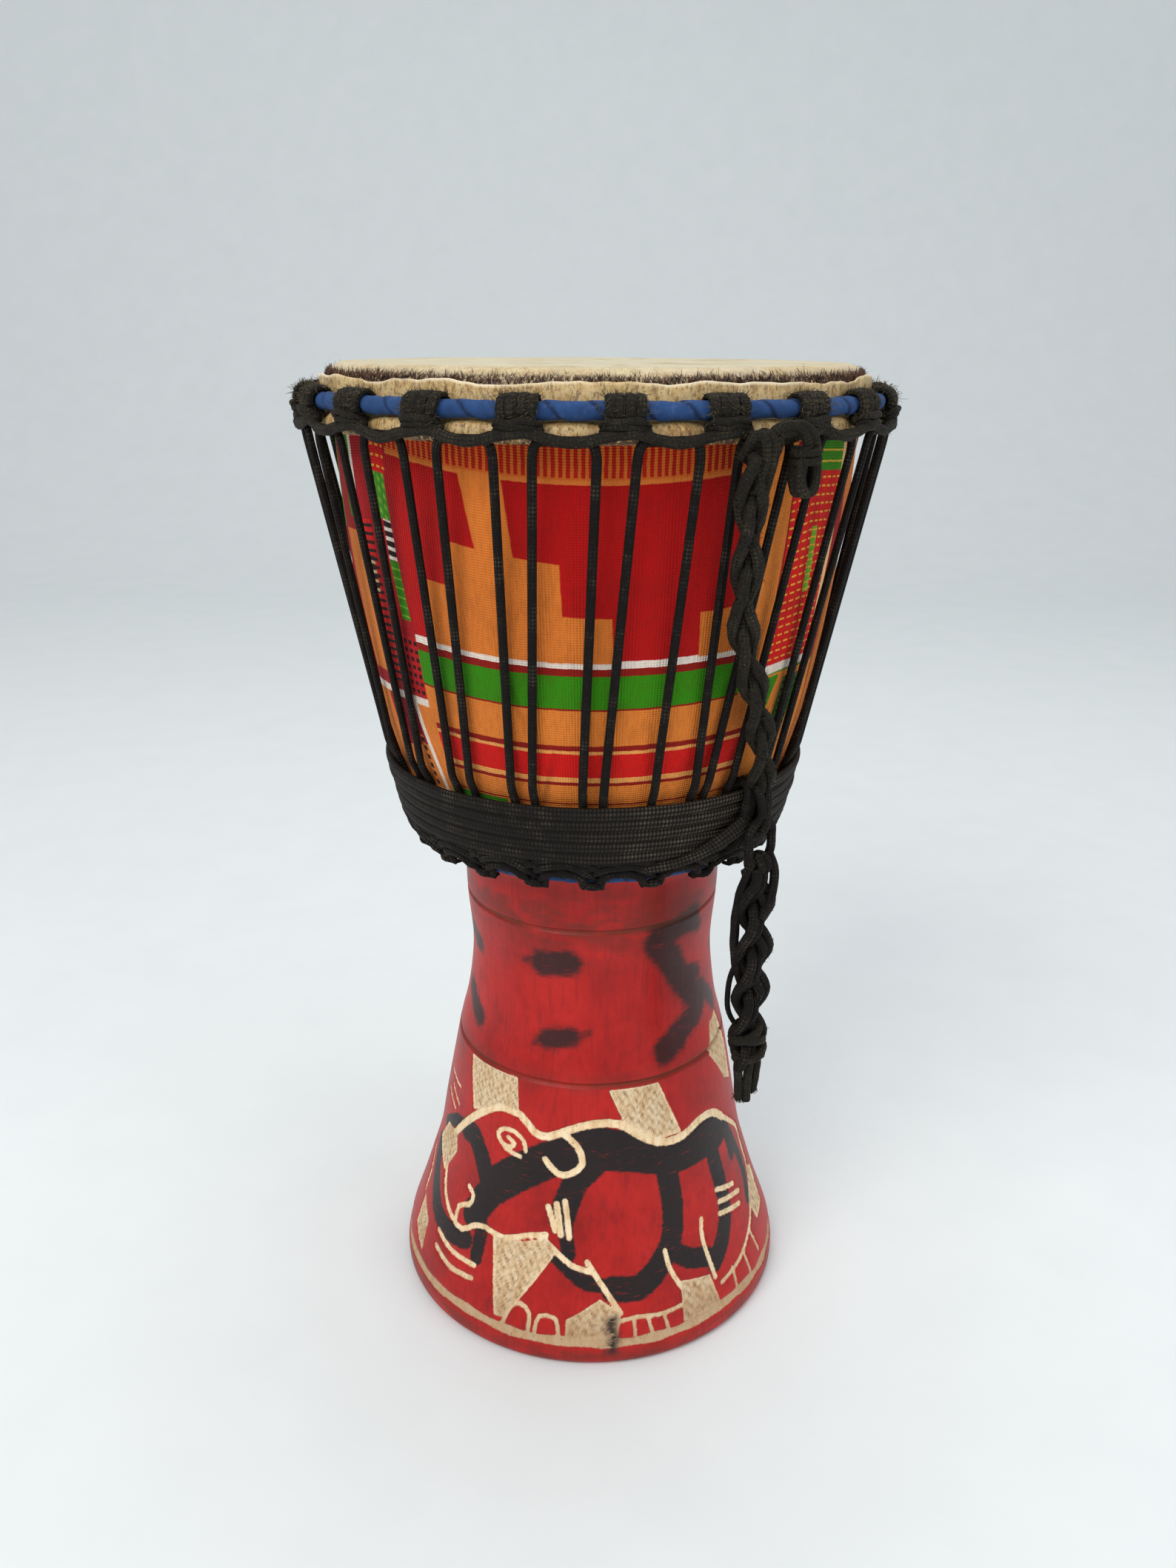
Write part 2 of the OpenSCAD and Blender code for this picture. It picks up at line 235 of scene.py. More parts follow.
def ends_in(path, least):
    """Thickness along a path: least at both ends, 1 from the fourth point on."""
    n = np.arange(len(path))
    return np.clip(np.minimum(n, n[::-1]) / 3, least, 1)


def place(obj, body, slot, *replaced):
    """Lets a piece ride on a body, in place of CAD nodes. slot is not used."""
    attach(obj, body)
    if replaced:
        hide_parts(*replaced)
    return obj


def rope_piece(shape, name, look, body, *replaced):
    return place(shape.build(name, look), body, "braided_rope", *replaced)


# ---- materials
def rgb(r, g, b):
    """A colour as seen, 0 to 255, as the linear colour a shader takes."""
    def lin(c):
        c /= 255
        return c / 12.92 if c <= 0.04045 else ((c + 0.055) / 1.055) ** 2.4
    return (lin(r), lin(g), lin(b), 1)


class Look:
    """A material and short ways to add nodes to it."""

    def __init__(self, name, **constants):
        self.material = bpy.data.materials.new(name)
        self.material.use_nodes = True
        self.tree = self.material.node_tree
        self.shader = self.tree.nodes["Principled BSDF"]
        for k, v in constants.items():
            self.shader.inputs[k.replace("_", " ")].default_value = v

    def put(self, value, socket):
        if isinstance(value, bpy.types.NodeSocket):
            self.tree.links.new(value, socket)
        else:
            socket.default_value = value

    def add(self, kind, inputs=(), **settings):
        node = self.tree.nodes.new("ShaderNode" + kind)
        for k, v in settings.items():
            setattr(node, k, v)
        for k, v in dict(inputs).items():
            self.put(v, node.inputs[k])
        return node

    def math(self, op, a, b=0.0, c=0.0):
        return self.add("Math", {0: a, 1: b, 2: c}, operation=op).outputs[0]

    def mul(self, a, b):
        return self.math("MULTIPLY", a, b)

    def plus(self, a, b):
        return self.math("ADD", a, b)

    def fma(self, a, b, c):
        return self.math("MULTIPLY_ADD", a, b, c)

    def sine(self, x):
        return self.math("SINE", x)

    def less(self, x):
        """1 - x."""
        return self.math("SUBTRACT", 1.0, x)

    def step(self, x, edge, width):
        """0 where x is well under the edge and 1 well over it, smooth across the width."""
        return self.add("MapRange", {0: x, 1: edge - width / 2, 2: edge + width / 2},
            interpolation_type="SMOOTHSTEP").outputs[0]

    def inside(self, x, a, b, width):
        """1 between a and b."""
        return self.mul(self.step(x, a, width), self.less(self.step(x, b, width)))

    def field(self, name):
        return self.add("Attribute", attribute_name=name).outputs["Fac"]

    def uv(self):
        out = self.add("SeparateXYZ", {0: self.add("TexCoord").outputs["UV"]}).outputs
        return out[0], out[1]

    def place(self, x=1.0, y=1.0, z=1.0):
        """The object's own coordinates in millimetres, stretched along each axis."""
        return self.add("Mapping", {"Vector": self.add("TexCoord").outputs["Object"],
            "Scale": (1000 * x, 1000 * y, 1000 * z)}).outputs[0]

    def noise(self, where, size, detail=3.0, rough=0.55, warp=0.0):
        """Smooth noise, 0 to 1, with features about size across."""
        return self.add("TexNoise", {"Vector": where, "Scale": 1 / size, "Detail": detail,
            "Roughness": rough, "Distortion": warp}).outputs[0]

    def speck(self, *how):
        return self.noise(self.place(), *how)

    def mix(self, amount, a, b):
        node = self.add("Mix", data_type="RGBA")
        self.put(amount, node.inputs[0])
        self.put(a, node.inputs[6])
        self.put(b, node.inputs[7])
        return node.outputs[2]

    def ramp(self, x, stops, interpolation="LINEAR"):
        node = self.add("ValToRGB", {0: x})
        node.color_ramp.interpolation = interpolation
        while len(node.color_ramp.elements) < len(stops):
            node.color_ramp.elements.new(0.5)
        for e, (at, colour) in zip(node.color_ramp.elements, stops):
            e.position = at
            e.color = colour
        return node.outputs[0]

    def finish(self, colour, roughness, heights):
        """heights are (height, millimetres of relief) pairs, coarse ones first."""
        self.put(colour, self.shader.inputs["Base Color"])
        self.put(roughness, self.shader.inputs["Roughness"])
        below = {}
        for height, relief in heights:
            node = self.add("Bump",
                {"Height": height, "Distance": relief / 1000, "Strength": 1.0, **below})
            below = {"Normal": node.outputs[0]}
        self.put(node.outputs[0], self.shader.inputs["Normal"])
        return self.material


def rope_look(name, dark, highlight_colour, fuzz):
    """A braided rope, with painted highlight on the crests of its braid. UV runs 0 to 1 round it
    and in centimetres along it.
    """
    k = Look(name, Specular_IOR_Level=0.14, Sheen_Weight=0.03, Sheen_Roughness=0.4,
        Sheen_Tint=rgb(150, 135, 110))
    u, v = k.uv()
    a = k.sine(k.plus(k.mul(u, 25.13), k.mul(v, 17.5)))
    b = k.sine(k.plus(k.mul(u, 25.13), k.mul(v, -17.5)))
    braid = k.fma(k.mul(a, b), 0.5, 0.5)
    worn = k.speck(9, 4)
    threads = k.speck(0.5, 3, 0.7)
    # painted highlight: the braid's crests are lightened, patchy with the noise and stronger where
    # the field read below is high
    painted_highlight = k.mul(k.step(braid, 0.64, 0.6),
        k.plus(k.mul(k.step(worn, 0.6, 0.3), 0.6), k.mul(k.field("braid_highlight_gain"), 0.6)))
    colour = k.mix(k.mul(painted_highlight, 0.9), dark, highlight_colour)
    colour = k.mix(k.mul(k.step(threads, 0.6, 0.2), k.mul(worn, 0.5)), colour, fuzz)
    return k.finish(colour, k.fma(worn, 0.2, 0.62), [(braid, 0.5), (threads, 0.25)])


black_rope = rope_look("braided_rope", rgb(15, 12, 11), rgb(92, 83, 70), rgb(72, 64, 52))
worn_rope = rope_look("worn_rope", rgb(26, 23, 18), rgb(88, 80, 64), rgb(116, 106, 84))


def fuzz_look():
    k = Look("rope_fuzz", Specular_IOR_Level=0.2)
    tone = k.speck(4, 2)
    return k.finish(k.mix(tone, rgb(38, 34, 28), rgb(118, 106, 82)), 0.9, [(k.speck(0.3), 0.05)])


def hair_look():
    k = Look("goat_hair", Specular_IOR_Level=0.4)
    tone = k.speck(3, 2)
    return k.finish(k.mix(k.step(tone, 0.5, 0.3), rgb(40, 24, 20), rgb(112, 74, 52)), 0.55,
        [(k.speck(0.2), 0.03)])


def skin_look():
    """Goatskin. One field darkens it: for the stubble left on it, and for painted shade on the roll
    under the hitches.
    """
    k = Look("goatskin_looks", Specular_IOR_Level=0.45, Subsurface_Weight=0.06,
        Subsurface_Radius=(0.004, 0.002, 0.001))
    w = k.place()
    blotch = k.noise(w, 26, 5, 0.6, 0.6)
    streak = k.noise(k.place(0.25, 1.0, 1.0), 4.5, 5, 0.6, 0.4)
    pores = k.noise(w, 0.9, 3, 0.6)
    veins = k.math("ABSOLUTE", k.plus(k.noise(w, 16, 2, 0.5, 1.2), -0.5))
    colour = k.ramp(blotch, [(0.25, rgb(176, 158, 118)), (0.42, rgb(200, 188, 152)),
        (0.55, rgb(212, 204, 176)), (0.75, rgb(186, 168, 128))])
    colour = k.mix(k.mul(k.step(streak, 0.58, 0.16), 0.4), colour, rgb(176, 142, 96))
    colour = k.mix(k.mul(k.less(k.step(veins, 0.012, 0.02)), 0.3), colour, rgb(180, 150, 110))
    spots = k.mul(k.step(pores, 0.66, 0.1), k.step(k.noise(w, 12, 2), 0.5, 0.2))
    colour = k.mix(k.mul(spots, 0.75), colour, rgb(110, 78, 50))
    edge = k.field("edge")
    tan = k.ramp(k.noise(k.place(1, 1, 0.55), 3.2, 6, 0.7), [(0.3, rgb(118, 78, 36)),
        (0.44, rgb(196, 156, 92)), (0.56, rgb(222, 192, 134)), (0.7, rgb(140, 98, 52))])
    tan = k.mix(k.mul(k.step(k.noise(k.place(1, 1, 0.4), 1.2, 3, 0.65), 0.58, 0.12), 0.8), tan,
        rgb(104, 66, 34))
    colour = k.mix(k.mul(edge, 0.95), colour, tan)
    # dark stubble, and painted shade on the roll under the hitches, both broken up by noise
    stubble_and_shade = k.mul(k.field("stubble_and_shade"), k.step(k.noise(k.place(1, 1, 0.3), 1.1, 3), 0.44, 0.22))
    colour = k.mix(stubble_and_shade, colour, rgb(66, 40, 32))
    colour = k.mix(k.mul(k.field("cut"), 0.8), colour, rgb(240, 226, 196))
    return k.finish(colour, k.fma(streak, 0.25, 0.42), [(streak, 0.5), (veins, 0.2), (pores, 0.18)])


def blue_look():
    """Blue cloth wound round a rod: UV runs 0 to 1 round the rod and in centimetres along it."""
    k = Look("blue_cloth_looks", Specular_IOR_Level=0.25, Sheen_Weight=0.1, Sheen_Roughness=0.5,
        Sheen_Tint=rgb(140, 160, 220))
    u, v = k.uv()
    fold_and_shade = k.field("fold_and_shade")
    worn = k.speck(7, 4)
    weave = k.mul(k.sine(k.mul(u, 220.0)), k.sine(k.mul(v, 90.0)))
    colour = k.mix(worn, rgb(28, 54, 98), rgb(50, 88, 142))
    # painted shade in the folds between the turns and in the wrinkles' hollows
    colour = k.mix(k.mul(fold_and_shade, 0.85), colour, rgb(12, 20, 48))
    colour = k.mix(k.mul(k.step(k.speck(2.5, 3), 0.62, 0.15), 0.18), colour, rgb(110, 128, 172))
    return k.finish(colour, 0.85, [(fold_and_shade, -0.5), (weave, 0.1), (k.speck(0.8), 0.15)])


def steel_look():
    """Steel rod, dulled and a little rusty."""
    k = Look("steel_looks", Metallic=1.0)
    rust = k.step(k.speck(5, 5, 0.65), 0.6, 0.15)
    drawn = k.noise(k.place(1, 1, 4), 1.5, 4)
    return k.finish(k.mix(rust, rgb(150, 150, 152), rgb(112, 70, 46)), k.fma(drawn, 0.3, 0.3),
        [(drawn, 0.05), (rust, 0.1)])


def wood_look():
    """Stained and painted wood. bare is the distance to the carved lines, ink to the black paint,
    hatch how deep a hatching cut is, and raw is 1 where the wood was never stained."""
    k = Look("painted_wood", Specular_IOR_Level=0.22, Coat_Weight=0.05, Coat_Roughness=0.3)
    w = k.place()
    grain = k.noise(k.place(1, 1, 0.07), 2.2, 6, 0.6, 0.3)
    cloud = k.noise(w, 34, 5, 0.6, 0.3)
    turned = k.noise(k.place(0.05, 0.05, 1), 1.6, 3)
    fine = k.noise(w, 2.0, 4, 0.6)
    red = k.ramp(cloud, [(0.22, rgb(124, 20, 14)), (0.45, rgb(167, 24, 20)),
        (0.62, rgb(184, 31, 26)), (0.8, rgb(148, 22, 18))])
    red = k.mix(k.mul(k.step(grain, 0.58, 0.2), 0.38), red, rgb(118, 22, 26))
    red = k.mix(k.mul(k.step(grain, 0.3, -0.16), 0.2), red, rgb(214, 78, 76))
    # darker bands up the neck, and painted shade at the foot
    band_and_foot_darkening = k.mul(k.field("dark_bands_and_foot_shade"),
        k.step(k.noise(k.place(0.5, 0.5, 1.2), 11, 5, 0.65), 0.46, 0.3))
    red = k.mix(k.mul(band_and_foot_darkening, 0.62), red, rgb(90, 40, 30))
    brush = k.noise(k.place(0.5, 0.5, 1.6), 3.0, 5, 0.7)
    ink = k.fma(k.math("SUBTRACT", brush, 0.5), 3.2, k.field("ink"))
    black = k.less(k.step(ink, 0.0, 1.6))
    drag = k.noise(k.place(0.35, 0.35, 1.6), 2.6, 5, 0.65)
    stain = k.fma(k.math("SUBTRACT", drag, 0.5), 7.0, k.field("stain"))
    black = k.math("MAXIMUM", black, k.mul(k.less(k.step(stain, 0.2, 5.0)), 0.92))
    black = k.mul(black,
        k.less(k.mul(k.step(k.noise(k.place(0.3, 0.3, 1.5), 2.4, 5, 0.7), 0.64, 0.12), 0.4)))
    painted = k.mix(black, red, k.mix(cloud, rgb(20, 15, 16), rgb(44, 31, 31)))
    pale = k.ramp(k.noise(k.place(1, 1, 0.25), 3.5, 5),
        [(0.3, rgb(216, 178, 132)), (0.5, rgb(240, 213, 172)), (0.7, rgb(247, 227, 192))])
    high = k.step(k.add("SeparateXYZ", {0: w}).outputs[2], 26.0, 34.0)
    pale = k.mix(k.mul(k.less(high), 0.72), pale, rgb(162, 124, 90))
    pale = k.mix(k.mul(k.field("hatch"), k.fma(fine, 0.9, 0.5)), pale, rgb(132, 92, 54))
    pale = k.mix(k.mul(k.step(k.noise(w, 1.1, 3), 0.66, 0.08), 0.7), pale, rgb(120, 60, 44))
    bare = k.fma(k.math("SUBTRACT", fine, 0.5), 1.1, k.field("bare"))
    cut = k.less(k.step(bare, 0.0, 0.7))
    colour = k.mix(cut, painted, pale)
    groove = k.field("groove")
    colour = k.mix(k.mul(groove, 0.8), colour, rgb(96, 50, 30))
    drip = k.field("drip")
    colour = k.mix(k.mul(drip, k.step(brush, 0.4, 0.3)), colour, rgb(44, 36, 34))
    natural = k.ramp(k.noise(k.place(1, 1, 0.12), 3.0, 5),
        [(0.3, rgb(140, 96, 58)), (0.55, rgb(176, 130, 84)), (0.75, rgb(120, 78, 46))])
    colour = k.mix(k.field("raw"), colour, natural)
    rough = k.fma(k.math("MAXIMUM", cut, k.field("raw")), 0.32, k.fma(cloud, 0.2, 0.32))
    return k.finish(colour, rough, [(cut, -0.25), (grain, 0.14), (turned, 0.1), (fine, 0.12)])


steel_material = steel_look()
for name in ("flesh_ring", "crown_ring", "lower_ring"):
    for slot in nodes[name].material_slots:
        slot.material = steel_material


def cloth_look():
    """Printed cloth with a strip-woven design. UV holds the angle and the height, each over 100."""
    k = Look("printed_cloth_looks", Specular_IOR_Level=0.1, Sheen_Weight=0.05, Sheen_Roughness=0.5)
    orange, amber = rgb(224, 126, 50), rgb(236, 158, 84)
    crimson, red, wine = rgb(182, 15, 16), rgb(210, 24, 20), rgb(144, 24, 16)
    green, white, black = rgb(52, 134, 10), rgb(238, 222, 208), rgb(26, 20, 18)
    lime, yellow = rgb(120, 176, 40), rgb(240, 184, 60)
    u, v = k.uv()
    a = k.math("WRAP", k.mul(u, 100.0), 90.0, -90.0)
    z = k.mul(v, 100.0)
    a = k.plus(a, k.mul(k.plus(k.speck(5, 2), -0.5), 0.35))
    z = k.plus(z, k.mul(k.plus(k.speck(4, 2), -0.5), 0.7))
    point = k.add("CombineXYZ", {0: k.mul(a, 2.0), 1: z, 2: 1.0}).outputs[0]

    def area(*corners):
        """1 inside a convex outline of (angle, height) corners."""
        c = np.array(corners, float) * [2, 1]
        if sum(p[0] * q[1] - q[0] * p[1] for p, q in zip(c, np.roll(c, -1, 0))) < 0:
            c = c[::-1]
        low = None
        for p, q in zip(c, np.roll(c, -1, 0)):
            across = np.array([p[1] - q[1], q[0] - p[0]]) / np.linalg.norm(q - p)
            edge = k.add("VectorMath", {0: point, 1: (*across, -across @ p)},
                operation="DOT_PRODUCT").outputs["Value"]
            low = edge if low is None else k.math("MINIMUM", low, edge)
        return k.step(low, 0.0, 0.7)

    def every(x, period, share):
        """Stripes across x: 1 over that share of each period."""
        t = k.math("FRACT", k.mul(x, 1 / period))
        return k.inside(t, 0.08, 0.08 + share, 0.12)

    def checks(zs, period, share, across, width, low, high):
        """Short dashes: stripes up the cloth, broken by stripes across it."""
        return k.mix(k.mul(every(zs, period, share), every(across, *width)), low, high)

    def stripes(period, share, low, high):
        return k.mix(every(z, period, share), low, high)

    bands = [(280, orange), (318, wine), (319.5, orange), (328.5, wine), (330.5, amber), (333, red),
        (345, amber), (347, wine), (349, orange), (366, wine), (367.5, green), (383, wine),
        (386, white), (389.5, crimson), (464, rgb(224, 122, 52)), (466, rgb(218, 108, 40))]
    low, high = 280, 500
    stops = [((at - low) / (high - low), paint) for at, paint in bands]
    colour = k.ramp(k.fma(z, 1 / (high - low), -low / (high - low)), stops, "CONSTANT")
    colour = k.mix(k.mul(k.step(z, 467.5, 0.6), every(a, 1.4, 0.56)), colour, rgb(184, 34, 18))
    step_paint = rgb(222, 122, 48)
    ladder = stripes(4.6, 0.14, green, yellow)
    # Each patch is its paint, then its (angle, height) corners; later patches lie on top
    for paint, *corners in (
            # stepped pyramids
            (step_paint, (-27, 466), (-18, 466), (-16, 431), (-24, 434)),
            (step_paint, (-30.5, 436), (-7, 432), (-6, 389), (-30, 389)),
            (step_paint, (-37.5, 417), (-25, 416), (-25, 389), (-37, 389)),
            (step_paint, (-10, 410), (3.5, 409), (4, 389), (-10, 389)),
            (step_paint, (22, 409), (40, 409), (40, 389), (22.5, 389)),
            # panel on the right
            (rgb(226, 130, 52), (35, 490), (44, 490), (42, 366), (34.5, 366)),
            (rgb(150, 20, 24), (43, 490), (90, 490), (90, 372), (41, 372)),
            (checks(z, 3.6, 0.2, k.plus(a, k.mul(z, 0.04)), (2.3, 0.62), red, yellow),
             (43, 457), (62.5, 457), (59, 374), (41.5, 374)),
            (ladder, (49, 474), (62.5, 474), (62.5, 457), (49, 457)),
            (stripes(3.2, 0.2, lime, yellow), (51, 434), (53.5, 434), (53, 406), (50.5, 406)),
            (rgb(228, 134, 50), (41, 371), (90, 371), (90, 280), (41, 280)),
            (green, (44, 370), (48, 370), (45, 352), (43, 352)),
            (checks(z, 3.4, 0.4, a, (2.0, 0.5), rgb(36, 104, 34), black),
             (50, 368), (57, 368), (55, 338), (48, 338)),
            (white, (41, 376), (60, 376), (60, 372.5), (41, 371.5)),
            (rgb(232, 190, 130), (62.5, 480), (64.5, 480), (60, 330), (58.5, 330)),
            (orange, (68, 480), (78, 480), (74, 300), (66, 300)),
            (ladder, (79, 480), (86, 480), (84, 380), (77, 380)),
            # panel on the left
            (rgb(166, 18, 26), (-90, 490), (-47, 490), (-43, 396), (-43, 359), (-90, 359)),
            (checks(z, 4.4, 0.2, a, (1.9, 0.55), red, yellow),
             (-53, 490), (-47.5, 490), (-46.5, 456), (-52, 456)),
            (checks(k.plus(z, k.mul(a, 1.5)), 4.4, 0.45, a, (1.6, 0.5), rgb(60, 138, 32), lime),
             (-52, 456), (-47.2, 456), (-46.2, 437), (-51, 437)),
            (stripes(4.0, 0.4, black, white), (-48.8, 437), (-46.2, 437), (-45.4, 420), (-48, 420)),
            (stripes(4.0, 0.2, green, lime), (-48, 420), (-45.2, 420), (-43.8, 395), (-46.4, 395)),
            (stripes(3.6, 0.4, red, black), (-57.5, 436), (-53.6, 436), (-50, 364), (-54, 364)),
            (stripes(4.0, 0.35, black, rgb(200, 170, 130)),
             (-56.4, 420), (-54, 420), (-53.4, 404), (-55.8, 404)),
            (green, (-66, 480), (-61.2, 480), (-60, 436), (-65, 436)),
            (white, (-61.4, 480), (-60, 480), (-58, 422), (-59.2, 422)),
            (orange, (-72, 430), (-60.5, 430), (-57, 366), (-68, 366)),
            (green, (-86, 480), (-76, 480), (-74, 430), (-84, 430)),
            (checks(z, 3.8, 0.5, a, (1.7, 0.6), rgb(184, 22, 28), black),
             (-48.5, 388), (-43, 388), (-42.6, 360), (-48, 360)),
            (orange, (-90, 357), (-41.5, 357), (-39, 300), (-39, 280), (-90, 280)),
            (rgb(160, 20, 26), (-62, 357), (-47.5, 357), (-46, 336), (-60, 330)),
            (white, (-76, 359.5), (-42.5, 359.5), (-42.5, 356), (-76, 356)),
            (white, (-48.2, 357), (-46.8, 357), (-42.6, 312), (-44, 312)),
            (stripes(4.2, 0.55, orange, black), (-49, 340), (-47.6, 340), (-46, 312), (-47.4, 312)),
            (green, (-41, 318), (-23, 318), (-23, 300), (-41, 300))):
        colour = k.mix(area(*corners), colour, paint)

    # print, weave, wear, and painted shade in the creases
    weave = k.plus(k.sine(k.mul(u, 100 * 2 * 6.28 / 1.3)), k.sine(k.mul(v, 100 * 6.28 / 1.1)))
    slub = k.noise(k.place(1, 1, 0.12), 1.4, 3)
    worn = k.speck(22, 5)
    colour = k.mix(k.mul(k.step(slub, 0.55, 0.3), 0.16), colour, rgb(90, 30, 16))
    colour = k.mix(k.mul(k.step(worn, 0.62, 0.3), 0.18), colour, rgb(60, 20, 14))
    # painted shade along one side of each crease, in the gathers' hollows and at the lap
    colour = k.mix(k.mul(k.field("fold_and_shade"), 0.55), colour, rgb(44, 14, 10))
    return k.finish(colour, 0.82, [(slub, 0.2), (weave, 0.12)])


# ---- carved shell
def profiles(node):
    """The node's outer and inner outline about the drum's axis, each as heights and radii."""
    mesh = nodes[node].data
    co = np.empty(len(mesh.vertices) * 3, np.float32)
    mesh.vertices.foreach_get("co", co)
    co = co.reshape(-1, 3) * 1000
    normal = np.empty(len(mesh.vertices) * 3, np.float32)
    mesh.vertex_normals.foreach_get("vector", normal)
    normal = normal.reshape(-1, 3)
    r = np.hypot(co[:, 0], co[:, 1])
    faces_out = (normal[:, 0] * co[:, 0] + normal[:, 1] * co[:, 1]) / np.maximum(r, 1e-6)
    z = np.round(co[:, 2], 1)
    ends = (z < z.min() + 0.15) | (z > z.max() - 0.15)
    out = []
    for sign, best in ((1, max), (-1, min)):
        pick = (faces_out * sign > 0.05) | ends
        table = {}
        for height, radius in zip(z[pick], r[pick]):
            table[height] = best(table.get(height, radius), radius)
        out.append(np.array(sorted(table.items())).T)
    return out


shell_out, shell_in = profiles("shell")


def section(a, z):
    """The angle within one of the two halves that carry the same drawing."""
    return (a + 90) % 180 - 90


def distance(a, z, r, line, closed=False):
    """Distance on the surface from each point to a line of (angle, height) points."""
    k = np.radians(r)
    best = np.full(a.shape, 99.0)
    pts = np.array(list(line) + ([line[0]] if closed else []), float)
    for p, q in zip(pts[:-1], pts[1:]):
        reach = 12
        near = ((a > min(p[0], q[0]) - reach) & (a < max(p[0], q[0]) + reach)
            & (z > min(p[1], q[1]) - reach) & (z < max(p[1], q[1]) + reach))
        if not near.any():
            continue
        x, y, s = a[near], z[near], k[near]
        dx, dy = (q[0] - p[0]) * s, q[1] - p[1]
        px, py = (x - p[0]) * s, y - p[1]
        t = clamp((px * dx + py * dy) / np.maximum(dx * dx + dy * dy, 1e-9))
        best[near] = np.minimum(best[near], np.hypot(px - t * dx, py - t * dy))
    return best


def strokes(lines, a, z, r):
    """Distance to the edge of the nearest of (width, points) lines, negative inside one."""
    best = np.full(a.shape, 9.0)
    for width, line in lines:
        line = smooth(line, 4) if len(line) > 2 else line
        best = np.minimum(best, distance(a, z, r, line) - width / 2)
    return best


def within(a, z, outline):
    """True for points inside an outline of (angle, height) corners."""
    hit = np.zeros(a.shape, bool)
    pts = np.array(outline, float)
    for p, q in zip(pts, np.roll(pts, -1, 0)):
        cross = (p[1] > z) != (q[1] > z)
        hit ^= cross & (a < (q[0] - p[0]) * (z - p[1]) / (q[1] - p[1] + 1e-12) + p[0])
    return hit


# Carved lines of a grazing beast with a raised back, as (width, points)
CARVED = [(4.4, [(-63, 98), (-56, 110), (-47, 122), (-38, 130), (-28, 130), (-22, 123), (-16, 122),
    (-8, 127), (2, 131), (11, 130), (19, 122), (26, 116), (36, 114), (47, 118), (56, 116),
    (63, 108)]), (3.0, [(63, 108), (71, 98), (78, 87), (79, 72), (78, 60), (70, 44)]),
    (3.6, [(-11, 125), (-5, 118), (-3, 109), (-7, 103), (-12, 102), (-17, 109)]),
    (2.6, [(-25, 111), (-26, 116), (-30, 119.5), (-35, 119), (-38, 115), (-36, 111), (-32, 110),
    (-30, 113), (-33, 115)]), (2.4, [(-38, 115), (-34, 108.5), (-27, 107)]),
    (3.0, [(-63, 98), (-66, 86), (-66, 75), (-62, 62), (-55, 54), (-48, 52), (-43, 58), (-38, 61),
    (-30, 60), (-22, 65), (-15, 68)]),
    (2.8, [(-52, 53), (-52, 62), (-47, 67), (-46, 73), (-49, 76)]),
    (3.0, [(-16, 66), (-11, 60), (-6, 54), (0, 51)]), (3.0, [(-1, 56), (4, 43), (9, 29)]),
    (2.8, [(25, 56), (26, 46), (29, 35)]), (2.8, [(41, 64), (40, 54), (42, 31)]),
    (3.2, [(-15, 83), (-12, 71)]), (3.4, [(-12, 85), (-10, 69)]), (3.2, [(-9, 87), (-7, 68)]),
    (2.8, [(51, 73), (62, 67)]), (2.8, [(51, 66), (65, 60)]), (2.8, [(50, 60), (63, 54)]),
    (2.8, [(-59, 41), (-50, 38), (-39, 39)]), (2.8, [(-58, 33), (-49, 30), (-39, 32)]),
    (1.7, [(-82, 125), (-66, 123)]), (1.7, [(-75, 118), (-65, 113)]),
    (1.7, [(-80, 112), (-68, 108)]),
    (2.4, [(-26, 17), (-24, 27), (-21, 30), (-18, 26), (-18, 17)]),
    (2.2, [(-16, 17), (-15, 26), (-10, 26), (-9, 17)]),
    (2.2, [(9, 25), (14, 26), (21, 25), (28, 26)]), (2.0, [(13, 26), (13, 17)]),
    (2.0, [(17, 26), (18, 17)]), (2.0, [(22, 25), (23, 17)]),
    (2.2, [(44, 26), (55, 30), (65, 38), (72, 46)]), (2.0, [(50, 29), (50, 18)]),
    (2.0, [(57, 32), (58, 18)]), (2.0, [(64, 37), (66, 22)]),
    (2.2, [(-86, 70), (-80, 60), (-79, 44)]),]
# Patches cut back and hatched, as outlines
HATCHED = [[(-59, 149), (-31, 150), (-29, 131), (-38, 131), (-46, 124), (-53, 120)],
    [(7, 149), (28, 149), (37, 117), (26, 118), (13, 130)], [(59, 149), (65, 163), (75, 165),
    (81, 140), (80, 119), (71, 126), (66, 136)], [(-80, 80), (-72, 96), (-62, 98), (-60, 88),
    (-67, 70)], [(-34, 59), (-24, 61), (-15, 66), (-11, 60), (-26, 20), (-29, 20)],
    [(-7, 26), (3, 37), (9, 29), (8, 17), (-7, 16)], [(29, 38), (40, 34), (42, 17), (28, 17)],
    [(70, 46), (78, 62), (84, 56), (82, 34), (72, 34)],
    [(-77, 44), (-76, 27), (-65, 21), (-67, 38)],]
